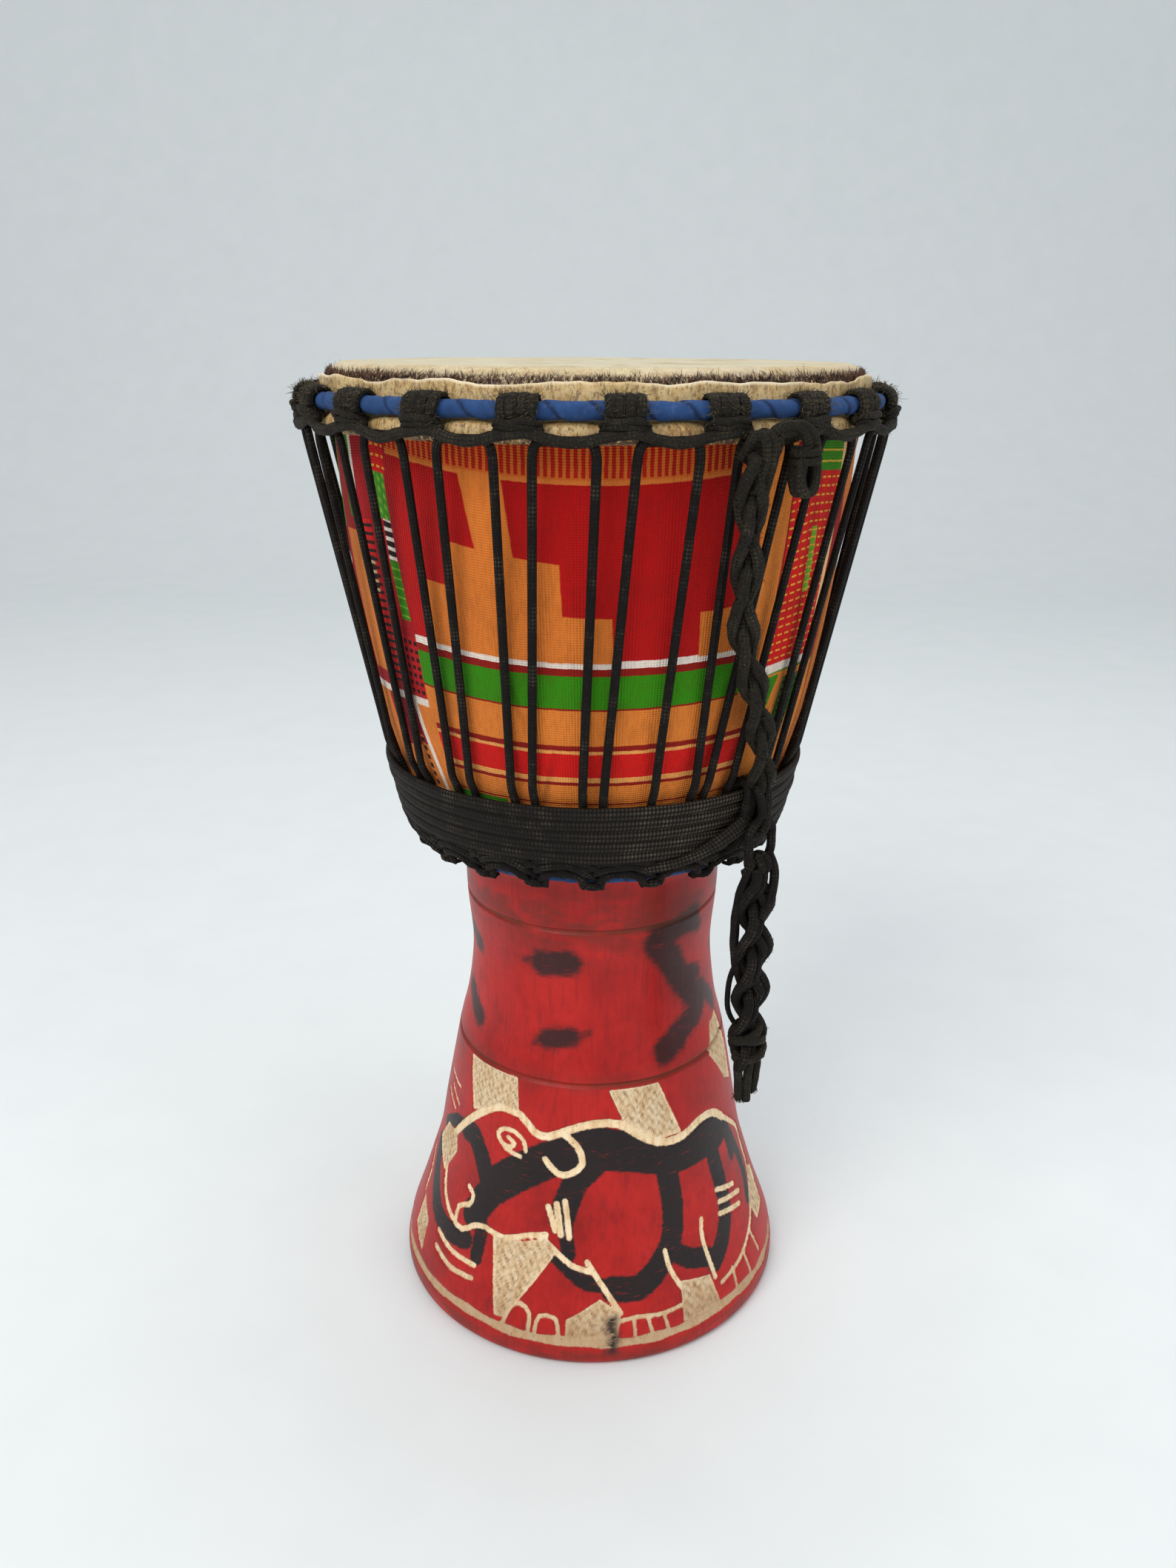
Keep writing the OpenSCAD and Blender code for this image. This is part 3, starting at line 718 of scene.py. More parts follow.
# Strokes of black paint, as (width, points): the beast, then the softer marks on the stem
PAINTED = [(16, [(-8, 117), (1, 114), (12, 112), (24, 107), (35, 103), (48, 103), (58, 102)]),
    (12, [(-5, 122), (5, 123), (14, 119), (24, 112), (35, 109), (49, 111), (57, 107)]),
    (14, [(2, 110), (-5, 99), (-8, 88), (-10, 77)]), (8, [(-9, 76), (-7, 60)]),
    (13.5, [(29, 100), (30, 79), (28, 62), (22, 49), (15, 41), (7, 42)]),
    (12, [(52, 98), (54, 76), (53, 59), (48, 46), (43, 39)]),
    (7, [(63, 104), (70, 84), (73, 66), (70, 50)]), (8, [(9, 43), (0, 45), (-6, 51), (-11, 58)]),
    (11, [(28, 55), (33, 48), (40, 44)]), (20, [(-10, 114), (-18, 107), (-27, 98), (-36, 86)]),
    (17, [(-34, 90), (-40, 76), (-44, 64)]), (13, [(-55, 106), (-50, 106), (-45, 98), (-41, 88)]),
    (9, [(-39, 61), (-39, 50), (-39, 44)]),
    (11, [(-78, 78), (-72, 62), (-64, 50), (-54, 46), (-45, 49)]),
    (8, [(-74, 94), (-64, 104), (-58, 106)]), (7, [(58, 107), (64, 96), (66, 82)]),]
STAINED = [(15, [(-22, 216.5), (-17, 217.5), (-11, 218.5)]), (3.5, [(-31, 216), (-5, 219.5)]),
    (10.5, [(-20, 174), (-15, 175.5), (-9, 177)]), (3, [(-25, 171), (-1, 179.5)]),
    (14, [(30, 230), (40, 232), (50, 235)]), (7, [(44, 231), (56, 227)]),
    (16, [(30, 226), (38, 214), (45, 201), (52, 190), (58, 183)]), (9, [(46, 204), (58, 199)]),
    (15, [(60, 186), (56, 178), (48, 174), (40, 169), (33, 164)]),
    (10, [(60, 186), (68, 180), (74, 172)]), (5, [(46, 170), (42, 163)]),
    (11, [(-80, 217), (-70, 213), (-66, 211)]), (11, [(-74, 181), (-66, 174), (-60, 170)]),
    (10, [(80, 205), (84, 210)]),]


# Above this height the wood of the rim was never stained; grooves are turned at two heights
RIM_BARE_FROM, GROOVES = 503, (151.5, 237)


def shell_piece():
    """The whole shell as one skin: up the carved outside, over the rim and down the hollow."""
    top = span("shell")[1][2]
    z_out = np.concatenate([[0.2, 1, 2.2, 3.4, 4.6], np.arange(5.8, 149.4, 1.25),
        np.arange(149.5, 154, 0.5), np.arange(155.5, 235, 2.2), np.arange(235.2, 239.5, 0.5),
        np.arange(243, 264, 4), np.arange(270, 500, 14), [502, 504.5, 506.5, 508, top]])
    z_in = np.concatenate([[top, 507, 503], np.arange(492, 12, -20), [6, 0.2]])
    cols = 512
    turn = np.linspace(-180, 180, cols, endpoint=False)
    a = turn - 12 * np.sin(np.radians(turn))  # columns gather at the front
    A, Z = np.meshgrid(a, z_out)
    R = np.interp(Z, *shell_out)
    half = section(A, Z)
    bare = strokes(CARVED, half, Z, R)
    border = 14.5 + 0.7 * waves(A, 3, 8, 2, 14)
    bare = np.minimum(bare, np.abs(Z - border) - 2.5 - 0.5 * waves(A, 4, 8, 6, 30))
    patch = np.full(A.shape, 9.0)
    for outline in HATCHED:
        d = distance(half, Z, R, outline, True)
        patch = np.minimum(patch, np.where(within(half, Z, outline), -d, d))
    s = np.radians(A) * 100
    shake = 0.8 * np.sin(Z / 5 + waves(A, 5, 6, 10, 40))
    hatch = np.maximum(bump((s * 0.85 + Z * 0.52 + shake) % 3.5, 1.7, 0.9),
        0.7 * bump((s * 0.6 - Z * 0.8 + shake) % 3.9, 1.9, 0.9))
    hatch = ((0.22 + 0.78 * hatch * (0.6 + 0.4 * np.sin(s * 0.7 + Z * 1.1)))
        * clamp(-patch / 0.8 - 0.6))
    ink, stain = strokes(PAINTED, half, Z, R), strokes(STAINED, half, Z, R)
    cut = np.minimum(bare, patch)
    depth = 1.15 * clamp(0.25 - bare / 1.5) ** 0.8
    depth = np.maximum(depth, 0.75 * clamp(0.2 - patch / 1.2)) + 0.4 * hatch
    depth += np.where(cut < 0, 0.12 * np.sin(s * 1.3 + Z * 2.1), 0)
    tool = (0.22 * waves(A, 11, 7, 3, 17) * np.sin(Z / 23 + A / 40)
        + 0.15 * np.sin(Z / 9 + 2 * waves(A, 12)))
    body = clamp(Z / 12) * clamp((262 - Z) / 30)
    R = R - depth + tool * body
    groove = sum(bump(Z, g, 2.2) for g in GROOVES) * (0.75 + 0.25 * waves(A, 9))
    # darker bands at 246, 228 and 152 mm; the strong band at the foot is painted shade
    dark_bands_and_foot_shade = clamp(bump(Z, 246, 24) + 0.5 * bump(Z, 228, 20) + 0.6 * bump(Z, 152, 9)
        + 1.7 * bump(Z, 2, 13))
    drip = bump(A, 6.5 + 0.4 * np.sin(Z / 2.0), 3.4) * clamp((29 - Z) / 3) * clamp((Z - 6) / 3)
    raw = np.where(Z > RIM_BARE_FROM, 1.0, 0.0)
    A2, Z2 = np.meshgrid(a, z_in)
    R2 = np.interp(Z2, *shell_in) + 0.5 * waves(A2, 21, 8, 2, 20) * clamp((500 - Z2) / 40)
    P = np.vstack([polar(R, A, Z), polar(R2, A2, Z2)])
    rest = np.zeros(A2.shape)
    fields = {name: np.vstack([outside, rest + hollow]) for name, outside,
        hollow in (("bare", cut, 9), ("ink", ink, 9), ("stain", stain, 9), ("hatch", hatch, 0),
        ("groove", clamp(groove), 0), ("dark_bands_and_foot_shade", dark_bands_and_foot_shade, 0), ("drip", drip, 0), ("raw", raw, 1))}
    shape = Shape().grid(P, round_u=True, round_v=True, fields=fields)
    place(shape.build("carved_shell", wood_look()), "drum", "carved_wood", "shell")


shell_piece()


# ---- cloth round the bowl
def cloth_piece():
    """The printed sleeve: pulled in under the binding, with creases and a sewn lap at the back."""
    lo, hi = span("cloth_cover")
    out = profiles("cloth_cover")[0]
    z = np.linspace(lo[2], hi[2], 92)
    a = np.linspace(-180, 180, 420, endpoint=False)
    A, Z = np.meshgrid(a, z)
    R = np.interp(Z, *out)
    low = clamp((360 - Z) / 70)
    gathers = (0.45 * low * (0.6 + 0.4 * waves(A, 31))
        * np.sin(np.radians(A) * 57 + 3 * waves(A, 32, 5, 1, 5)))
    sway = 0.35 * waves(A + Z / 9, 33, 8, 3, 22) * clamp((Z - 300) / 60)
    creases = np.zeros(A.shape)
    for angle, height, lean, long, size in ((-20, 376, 0.12, 26, 0.9), (-13, 330, -0.12, 24, 0.7),
            (12, 345, 0.06, 30, 0.5), (-36, 400, 0.04, 40, 0.4), (66, 360, 0.08, 34, 0.6),
            (150, 350, 0.1, 30, 0.8), (-120, 372, -0.1, 34, 0.8), (-160, 340, 0.1, 26, 0.7),
            (110, 338, -0.1, 26, 0.7)):
        across = (A - angle + (Z - height) * lean + 180) % 360 - 180
        creases = np.maximum(creases, size * bump(across, 0, 1.5) * bump(Z, height, long))
    lap = 0.9 * clamp((A - 172) / 1.2) * clamp((180 - A) / 0.9)
    R = R + gathers + sway + creases + lap - 0.1
    # painted shade: one side of each crease, the hollows of the gathers, and the lap's edge
    fold_and_shade = clamp(np.roll(creases, 2, 1) * 0.9 - creases * 0.5 + low * 0.25 * clamp(-gathers / 0.4)
        + (lap > 0.8) * 0.3)
    half = section(A, Z)
    # the print's rows hang lower away from the middle of each half
    swing = np.minimum(half ** 2, 2500) * bump(half, 0, 92) ** 0.3
    V = (Z - swing * (0.0030 + 0.0020 * (Z - 389) / 76)) / 100
    inner = np.interp(Z, *out) - 0.7
    P = np.vstack([polar(R, A, Z), polar(inner[::-6], A[::-6], Z[::-6])])
    u = np.concatenate([a, [180]]) / 100
    V = np.vstack([V, V[::-6]])
    V = np.hstack([V, V[:, :1]])
    V = np.vstack([V, V[:1]])  # the last row and column close the mesh
    shape = Shape().grid(P, u=u, v=V, round_u=True, round_v=True,
        fields={"fold_and_shade": np.vstack([fold_and_shade, fold_and_shade[::-6]])})
    cloth = shape.build("printed_cloth_cover", cloth_look())
    place(cloth, "drum", "printed_cloth", "cloth_cover")


cloth_piece()


# ---- where the ropes run
HITCHES = 21
PITCH = 360 / HITCHES
FIRST = 4.5  # angle of the first hitch
LEAN = -4.6  # how far the lacing leans back between the crown and the lower ring
ROPE, LACE_HALF = 2.0, 1.88
crown_r, crown_z = ring("crown_ring_wrap")[:2]
lower_r, lower_z = ring("lower_ring_wrap")[:2]
flesh_r, flesh_z = ring("flesh_ring")[:2]
top_z = span("drum_head")[1][2]
# The lacing's path and the tail, as (radius, height), angle or radius
LACE_TOP, LACE_BEND, LACE_KNEE = (139.4, 477.0), (140.2, 483.2), (109.2, 327.0)
LACE_UNDER_TOP, LACE_UNDER_FOOT, LACE_FOOT = (104.6, 319.2), (97.8, 290.0), (96.6, 284.8)
TAIL_ANGLE, TAIL_R = 43.4, 115.6
LINK_PIVOT_Z, LINK_WIDTH = 300.0, 13.0
link_lo, link_hi = span("tail_link")
hitch_angles = FIRST + PITCH * np.arange(HITCHES)
hitch_angles = np.where(hitch_angles > 180, hitch_angles - 360, hitch_angles)


def lace_r(z):
    """Radius of the lacing's middle at a height."""
    return np.interp(z, [LACE_UNDER_FOOT[1], LACE_UNDER_TOP[1], LACE_KNEE[1], LACE_TOP[1]],
        [LACE_UNDER_FOOT[0], LACE_UNDER_TOP[0], LACE_KNEE[0], LACE_TOP[0]])


def at_hitch(a, width):
    """1 at the middle of each hitch, 0 a width away."""
    t = (a - FIRST) % PITCH
    return bump(np.minimum(t, PITCH - t), 0, width)


# ---- goatskin head
HAIRS = 7600


def head_piece():
    """The skin from the middle of the face over the rim, down the wall, out and up as the trimmed
    collar, down again and round the flesh ring; then the hair left along its edge."""
    corner_r, corner_z, wall = 119.9, top_z - 8.6, 128.5
    arc = np.radians(np.linspace(90, 0, 9))
    collar = 504.4
    flat_r = [0.6, 8, 18, 30, 44, 58, 72, 84, 95, 104, 112, 116.5]
    pts = [(r, top_z, "flat") for r in flat_r]
    pts += [(corner_r + 8.6 * math.cos(t), corner_z + 8.6 * math.sin(t), "corner") for t in arc]
    pts += [(wall, z, "wall") for z in (499.5, 497.5, 495, 492, 489.5)]
    pts += [(129.4, 488.0, "gap"), (130.3, 489.4, "gap")]
    pts += [(130.4, 492, "in"), (130.4, 496, "in"), (130.4, 500, "in"), (130.4, 503, "in"),
        (130.5, collar - 0.3, "lip"), (130.9, collar, "lip"), (131.4, collar - 0.3, "lip"),
        (131.4, 503, "out"), (131.4, 501, "out"), (131.4, 498, "out"), (131.4, 494, "out"),
        (131.4, 490.5, "low")]
    pts += [(flesh_r + 4.2 * math.cos(t), flesh_z + 4.2 * math.sin(t), "roll")
        for t in np.radians(np.linspace(80, -150, 17))]
    pts += [(127.7, 484.8, "back"), (127.5, 488, "back"), (127.5, 495, "back")]
    pts += [(corner_r + 7.6 * math.cos(t), corner_z + 7.6 * math.sin(t), "back") for t in arc[::-2]]
    pts += [(r, top_z - 1, "under") for r in (104, 84, 58, 30, 0.6)]
    cols = 378
    a = np.linspace(-180, 180, cols, endpoint=False)
    lip = (1.2 * waves(a, 41, 7, 3, 12) + 0.8 * waves(a, 42, 8, 12, 40)
        + 0.25 * waves(a, 43, 10, 50, 120))
    lean = 0.5 * waves(a, 44, 7, 3, 15) + 0.3
    pinch = at_hitch(a, 4.2)
    plump = (1 - at_hitch(a, 7.5)) * (1.7 + 0.4 * waves(a, 45, 8, 5, 30)) - 0.5 * pinch
    ripples = 0.25 * waves(a, 46, 10, 20, 90)
    rows, stubble_and_shade, edge, cut = [], [], [], []
    fringe = 1.0 + 0.3 * waves(a, 47, 8, 2, 20) + 0.3 * waves(a, 48, 10, 30, 90)
    for r, z, part in pts:
        R, Z = np.full(cols, r), np.full(cols, z)
        h, e, c = np.zeros(cols), np.zeros(cols), np.zeros(cols)
        if part in ("flat", "corner"):
            Z = Z - 0.12 * (1 + waves(a, 50, 6, 2, 9)) * bump(r, 100, 70)
            R = R + (0.3 * waves(a, 51, 8, 3, 20) if part == "corner" else 0)
            e = e + 0.4 * clamp((r - 108) / 18)
            reach = 2.2 + 2.4 * np.clip(fringe, 0.2, 1.4)
            h = bump(z, collar, reach) * 1.25 if part == "corner" else h
        if part == "wall":
            h = h + np.clip(fringe + 0.2, 0.2, 1) * np.clip((z - 490) / 6, 0.4, 1)
            e = e + 0.8
        if part in ("in", "lip", "out"):
            up = clamp((z - 494) / 10)
            R = R + (lean * up - 0.5 * pinch * (1 - up) + ripples * up)
            Z = Z + lip * up
            e = e + 0.9
            c = c + (part == "lip") * np.clip(0.65 + 0.5 * waves(a, 49, 8, 6, 40), 0.1, 1)
            h = h + (0.25 * (part == "in"))
        if part == "roll":
            R = R + plump * clamp((r - 130) / 4) + ripples
            above, below = clamp((z - flesh_z) / 4), clamp((484 - z) / 4)
            Z = Z + 0.8 * below + 1.9 * (1 - at_hitch(a, 7.5)) * above
            # the roll a little darker all round, and painted shade on its lower part under each
            # hitch
            e, h = e + 1.0, h + 0.14 + 0.8 * clamp(1.4 * at_hitch(a, 8)) * clamp((487 - z) / 3)
        rows.append(polar(R, a, Z))
        stubble_and_shade.append(h), edge.append(e), cut.append(c)
    fields = {"stubble_and_shade": clamp(stubble_and_shade), "edge": np.array(edge), "cut": np.array(cut, float)}
    shape = Shape().grid(np.array(rows), round_u=True, fields=fields, caps=True)
    place(shape.build("goatskin_head", skin_look()), "drum", "goatskin", "drum_head")

    g = np.random.default_rng(52)
    tuft = Shape()
    for _ in range(HAIRS):
        angle = g.uniform(-180, 180)
        if g.uniform() > 1.0 + 0.3 * float(waves(angle, 47, 8, 2, 20)):
            continue
        t = min(max(math.radians(g.normal(21, 9)), 0.0), 1.1)
        root = np.array([corner_r + 8.5 * math.cos(t), corner_z + 8.5 * math.sin(t)])
        out = np.array([math.cos(t), math.sin(t)])
        along = np.array([-math.sin(t), math.cos(t)]) * g.choice([1, 1, 1, -0.6])
        long = g.uniform(1.1, 2.7) * (1.6 if g.uniform() < 0.04 else 1)
        drift = g.normal(0, 0.5)
        line = []
        for q in (0, 0.5, 1):
            s = root + out * long * (0.42 * q + 0.12 * q * q) + along * long * 0.9 * q
            line.append(polar(s[0], angle + drift * q, s[1]))
        tuft.tube(np.array(line), np.array([0.16, 0.12, 0.04]), sides=3)
    place(tuft.build("hair_fringe", hair_look()), "drum", "goatskin")


head_piece()


# ---- cloth-wrapped rings
def wrapped_ring(name, node, strip, seed):
    """A strip of cloth wound round a rod, its turns a strip apart."""
    R0, Z0, half = ring(node)
    rod = ring(node.replace("_wrap", ""))[2]
    n, m = 1260, 22
    a = np.linspace(-180, 180, n, endpoint=False)
    t = np.linspace(0, 2 * np.pi, m, endpoint=False)
    A, T = np.meshgrid(a, t, indexing="ij")
    turns = round(2 * np.pi * R0 / strip)
    phase = (np.radians(A) * turns + T + 0.9 * waves(A, seed)) / (2 * np.pi) % 1
    step = clamp(phase / 0.12) * (1 - phase)
    wrinkle = waves(A, seed + 1, 9, 30, 110) * np.sin(T * 2 + 3 * waves(A, seed + 2)) * 0.16
    r = half - 0.95 + 0.6 * step + wrinkle + 0.12 * waves(A, seed + 3, 8, 6, 40)
    r = np.maximum(r, rod + 0.12)
    # painted shade, and the relief, where each turn lies over the next and in the wrinkles' hollows
    fold_and_shade = bump(phase, 0.03, 0.12) + 0.25 * clamp(-wrinkle * 5)
    P = polar(R0 + r * np.cos(T), A, Z0 + r * np.sin(T))
    v = np.linspace(0, 2 * np.pi * R0 / 10, n + 1)
    shape = Shape().grid(P, v=v, round_u=True, round_v=True, fields={"fold_and_shade": clamp(fold_and_shade)})
    place(shape.build(name, blue_material), "drum", "blue_cloth", node)


blue_material = blue_look()
wrapped_ring("crown_ring_cloth", "crown_ring_wrap", 17, 61)
wrapped_ring("lower_ring_cloth", "lower_ring_wrap", 15, 71)


# ---- ropes at the crown ring
def around(centre_r, centre_z, radius, degrees):
    t = np.radians(degrees)
    return centre_r + radius * np.cos(t), centre_z + radius * np.sin(t)


def strap(shape, mid, off, deg, rho, thick, wide, g):
    """One wrap of squashed rope round the crown ring: rho from the ring's middle, off to the
    side of the hitch's middle angle."""
    per = 180 / (np.pi * (crown_r + 5))
    t = 2 * np.pi * np.arange(12) / 12
    d = np.radians(deg)[:, None]
    rough = (0.16 * np.sin(np.radians(deg)[:, None] * g.uniform(9, 15) + t * 2 + g.uniform(0, 6))
        + 0.1 * g.normal(size=(len(deg), 12)))
    reach = (np.asarray(rho)[:, None] + (np.asarray(thick)[:, None] + rough) * np.sign(np.cos(t))
        * np.abs(np.cos(t)) ** 0.6)
    across = np.asarray(off)[:, None] + (np.asarray(wide)[:, None] + rough) * np.sin(t)
    length = np.radians(deg - deg[0]) * 6 / 10
    return shape.grid(polar(crown_r + reach * np.cos(d), mid + across * per,
        crown_z + reach * np.sin(d)), v=length + 3 * mid, round_u=True, caps=True)


def fray(shape, g, root, out, long, spread=0.9):
    """A loose fibre that curls away from the rope."""
    way = out * g.uniform(0.1, 0.8) + g.normal(0, spread, 3)
    way = way / max(np.linalg.norm(way), 0.4)
    mid = root + way * long * 0.5
    tip = mid + (way * 0.6 + g.normal(0, 0.5, 3)) * long * 0.5
    shape.tube(np.array([root - out * 0.4, mid, tip]), np.array([0.15, 0.12, 0.05]), sides=3)


def crown_ropes():
    """Hitches round the crown ring, the cradles between them, and the fuzz on both."""
    g = np.random.default_rng(81)
    hitches, cradles, fuzz = Shape(), Shape(), Shape()
    deg = np.linspace(-95, 150, 30)
    for k, mid in enumerate(hitch_angles):
        tilt = g.normal(0, 0.5)
        for j in range(4):
            side = (j - 1.5) * 4.0 + g.normal(0, 0.25)
            front = np.cos(np.radians(np.clip(deg, -90, 150)))
            rho = 5.2 + 1.0 * clamp(front) + (0.2 if j in (1, 2) else 0) + g.normal(0, 0.08)
            rho = rho - 0.9 * clamp((deg - 100) / 50)
            lift = np.sin(np.radians(deg))
            off = side + tilt * lift - 0.28 * side * clamp(-lift)
            thick = 1.15 + 0.6 * clamp(front)
            strap(hitches, mid, off, deg, rho, thick, np.full(len(deg), 2.3), g)
        low = crown_z - 3.4 + g.normal(0, 0.3)
        for lift, reach in ((0, 8.4), (-2.2, 7.7)):
            bar = [(crown_r + 4.6, -3.9, low - 2.0), (crown_r + reach - 1, -2.9, low - 0.3),
                (crown_r + reach, -1.0, low + 0.5 * g.normal()), (crown_r + reach, 1.0, low + 0.2),
                (crown_r + reach - 1.2, 3.0, low - 0.6), (crown_r + 4.6, 4.0, low - 2.2)]
            path = bent(bar, 1.6, (0, mid, lift))
            hitches.rope(path, 1.55 * ends_in(path, 0.55), 8, 0.08)
        sag, half = g.normal(0, 0.3), PITCH / 2
        cradle = [(138.8, -3.6, 488.6), (140.6, -1.6, 487.2), (141.2, 0.6, 486.4),
            (141.9, 3.4, 485.2), (142.4, 5.8, 483.4), (142.6, half, 482.4 + sag),
            (142.6, PITCH - 5.8, 483.2), (142.6, PITCH - 3.4, 484.8), (142.8, PITCH - 0.6, 485.7),
            (142.2, PITCH + 1.6, 486.4), (140.2, PITCH + 4.0, 487.2)]
        path = bent(cradle, 2.2, (0, mid, 0))
        wob = 0.25 * np.sin(np.arange(len(path)) * 1.3 + mid)
        cradles.rope(path + unit(path * [1, 1, 0]) * wob[:, None] * 0.3, 2.3 + 0.2 * wob, 12, 0.07)
        for _ in range(210):
            turn, off = g.uniform(-70, 120), g.uniform(-3.7, 3.7)
            r, z = around(crown_r, crown_z, 6.1 + 1.6 * max(math.cos(math.radians(turn)), 0), turn)
            root = polar(r, mid + off, z)
            fray(fuzz, g, root, unit(root - polar(crown_r, mid + off, crown_z)),
                g.uniform(1.0, 3.2) * (1.5 if abs(off) > 3 else 1), 0.8)
        for _ in range(26):
            at = path[g.integers(2, len(path) - 2)]
            out = unit(unit(at * [1, 1, 0]) + [0, 0, g.normal(0, 1)])
            fray(fuzz, g, at + out * 1.9, out, g.uniform(0.8, 2.4))
    rope_piece(hitches, "crown_hitch_knots", worn_rope, "drum", "crown_hitches")
    rope_piece(cradles, "crown_cradle_cords", worn_rope, "drum", "crown_cradles")
    rope_piece(fuzz, "rope_fuzz", fuzz_look(), "drum")


crown_ropes()


def lacing():
    """One rope, zigzag all round. Two runs beside the plait are pulled towards it."""
    g = np.random.default_rng(91)
    pulled_right, pulled_left = {1: 5.6}, {2: -2.6}
    pts = []
    foot, top, aside = 2.5, 3.4, -0.9
    for k in range(HITCHES):
        here, there = FIRST + PITCH * k, FIRST + PITCH * (k + 1)
        nxt = (k + 1) % HITCHES
        up_pull, down_pull = pulled_right.get(k, 0) + g.normal(0, 0.25), pulled_left.get(nxt,
            0) + g.normal(0, 0.25)
        t1, t2 = g.normal(0, 0.25), g.normal(0, 0.25)
        pts.append(polar(LACE_FOOT[0], here + LEAN, LACE_FOOT[1]))
        for s, a in ((LACE_UNDER_FOOT, foot + LEAN + up_pull * 0.7),
                (LACE_UNDER_TOP, foot + LEAN + up_pull), (LACE_KNEE, foot + LEAN + up_pull),
                (LACE_TOP, top + aside + t1), (LACE_BEND, top + aside + 0.4 + t1)):
            pts.append(polar(s[0], here + a, s[1]))
        pts.append(polar(LACE_BEND[0] + 0.2, here + PITCH / 2, LACE_BEND[1] - 0.3))
        for s, a in ((LACE_BEND, -top + aside - 0.4 + t2), (LACE_TOP, -top + aside + t2),
                (LACE_KNEE, -foot + LEAN + down_pull), (LACE_UNDER_TOP, -foot + LEAN + down_pull),
                (LACE_UNDER_FOOT, -foot + LEAN + down_pull * 0.7)):
            pts.append(polar(s[0], there + a, s[1]))
    path = []
    n = len(pts)
    for i in range(n):
        p, q = pts[i], pts[(i + 1) % n]
        m = max(1, int(np.linalg.norm(q - p) / 2.2))
        path += [p + (q - p) * t / m for t in range(m)]
    path = np.array(path)
    for _ in range(2):
        path = (np.roll(path, 1, 0) + 2 * path + np.roll(path, -1, 0)) / 4
    shape = Shape().tube(path, LACE_HALF, sides=12, closed=True, flat=0.9, frame_out=True)
    rope_piece(shape, "lacing_cord", black_rope, "drum", "lacing_rope")


lacing()


def binding():
    """Five turns of rope pressed flat over the lacing, and two strands that slant to the hitch."""
    slope = np.subtract(LACE_UNDER_TOP, LACE_UNDER_FOOT)
    slope = slope / np.linalg.norm(slope)
    lean = np.array([slope[1], -slope[0]])
    first = np.array(LACE_UNDER_TOP) + lean * 3.9 - 2.5 * slope
    shape = Shape()
    a = np.linspace(-180, 180, 260, endpoint=False)
    near = bump((a - TAIL_ANGLE + 180) % 360 - 180, 0, 34)
    t = 2 * np.pi * np.arange(16) / 16
    for i in range(5):
        s = first - i * 5.9 * slope
        drift = (0.3 * waves(a, 101 + i, 6, 2, 9) + near * (2 - i) * 0.75)[:, None]
        puff = (0.2 * waves(a, 111 + i, 6, 3, 15))[:, None]
        pressed = np.sign(np.cos(t)) * np.abs(np.cos(t)) ** 0.8 * 1.85
        wide = (3.5 - 0.6 * near[:, None]) * np.sin(t)
        R = s[0] + (pressed + puff) * lean[0] + (wide + drift) * slope[0]
        Z = s[1] + (pressed + puff) * lean[1] + (wide + drift) * slope[1]
        v = np.linspace(0, 2 * np.pi * s[0] / 10, len(a) + 1) + 7.3 * i
        # painted highlight on the braid's crests: strongest about 33 degrees round, low elsewhere
        braid_highlight_gain = (0.15 + 0.85 * bump(a, 33, 50))[:, None]
        shape.grid(polar(R, a[:, None], Z), v=v, round_u=True, round_v=True, fields={"braid_highlight_gain": braid_highlight_gain})
    for d in (0, 1):
        line = [(95.5 + d, 10 + 5 * d, 283), (99 + d, 15 + 5 * d, 284.5 + d),
            (104, 22 + 4 * d, 287.5 + 2 * d), (107.5, 29 + 2 * d, 292 + 3 * d),
            (110.5, 35 + d, 297.5 + 4 * d), (111.5, 41.5, 303 + 4 * d)]
        # middling painted highlight on the braid's crests of the slanting strands
        shape.tube(bent(line, 4), 2.2, sides=12, flat=0.86, frame_out=True, fields={"braid_highlight_gain": 0.5})
    rope_piece(shape, "binding_cord", black_rope, "drum", "binding_wrap")


binding()


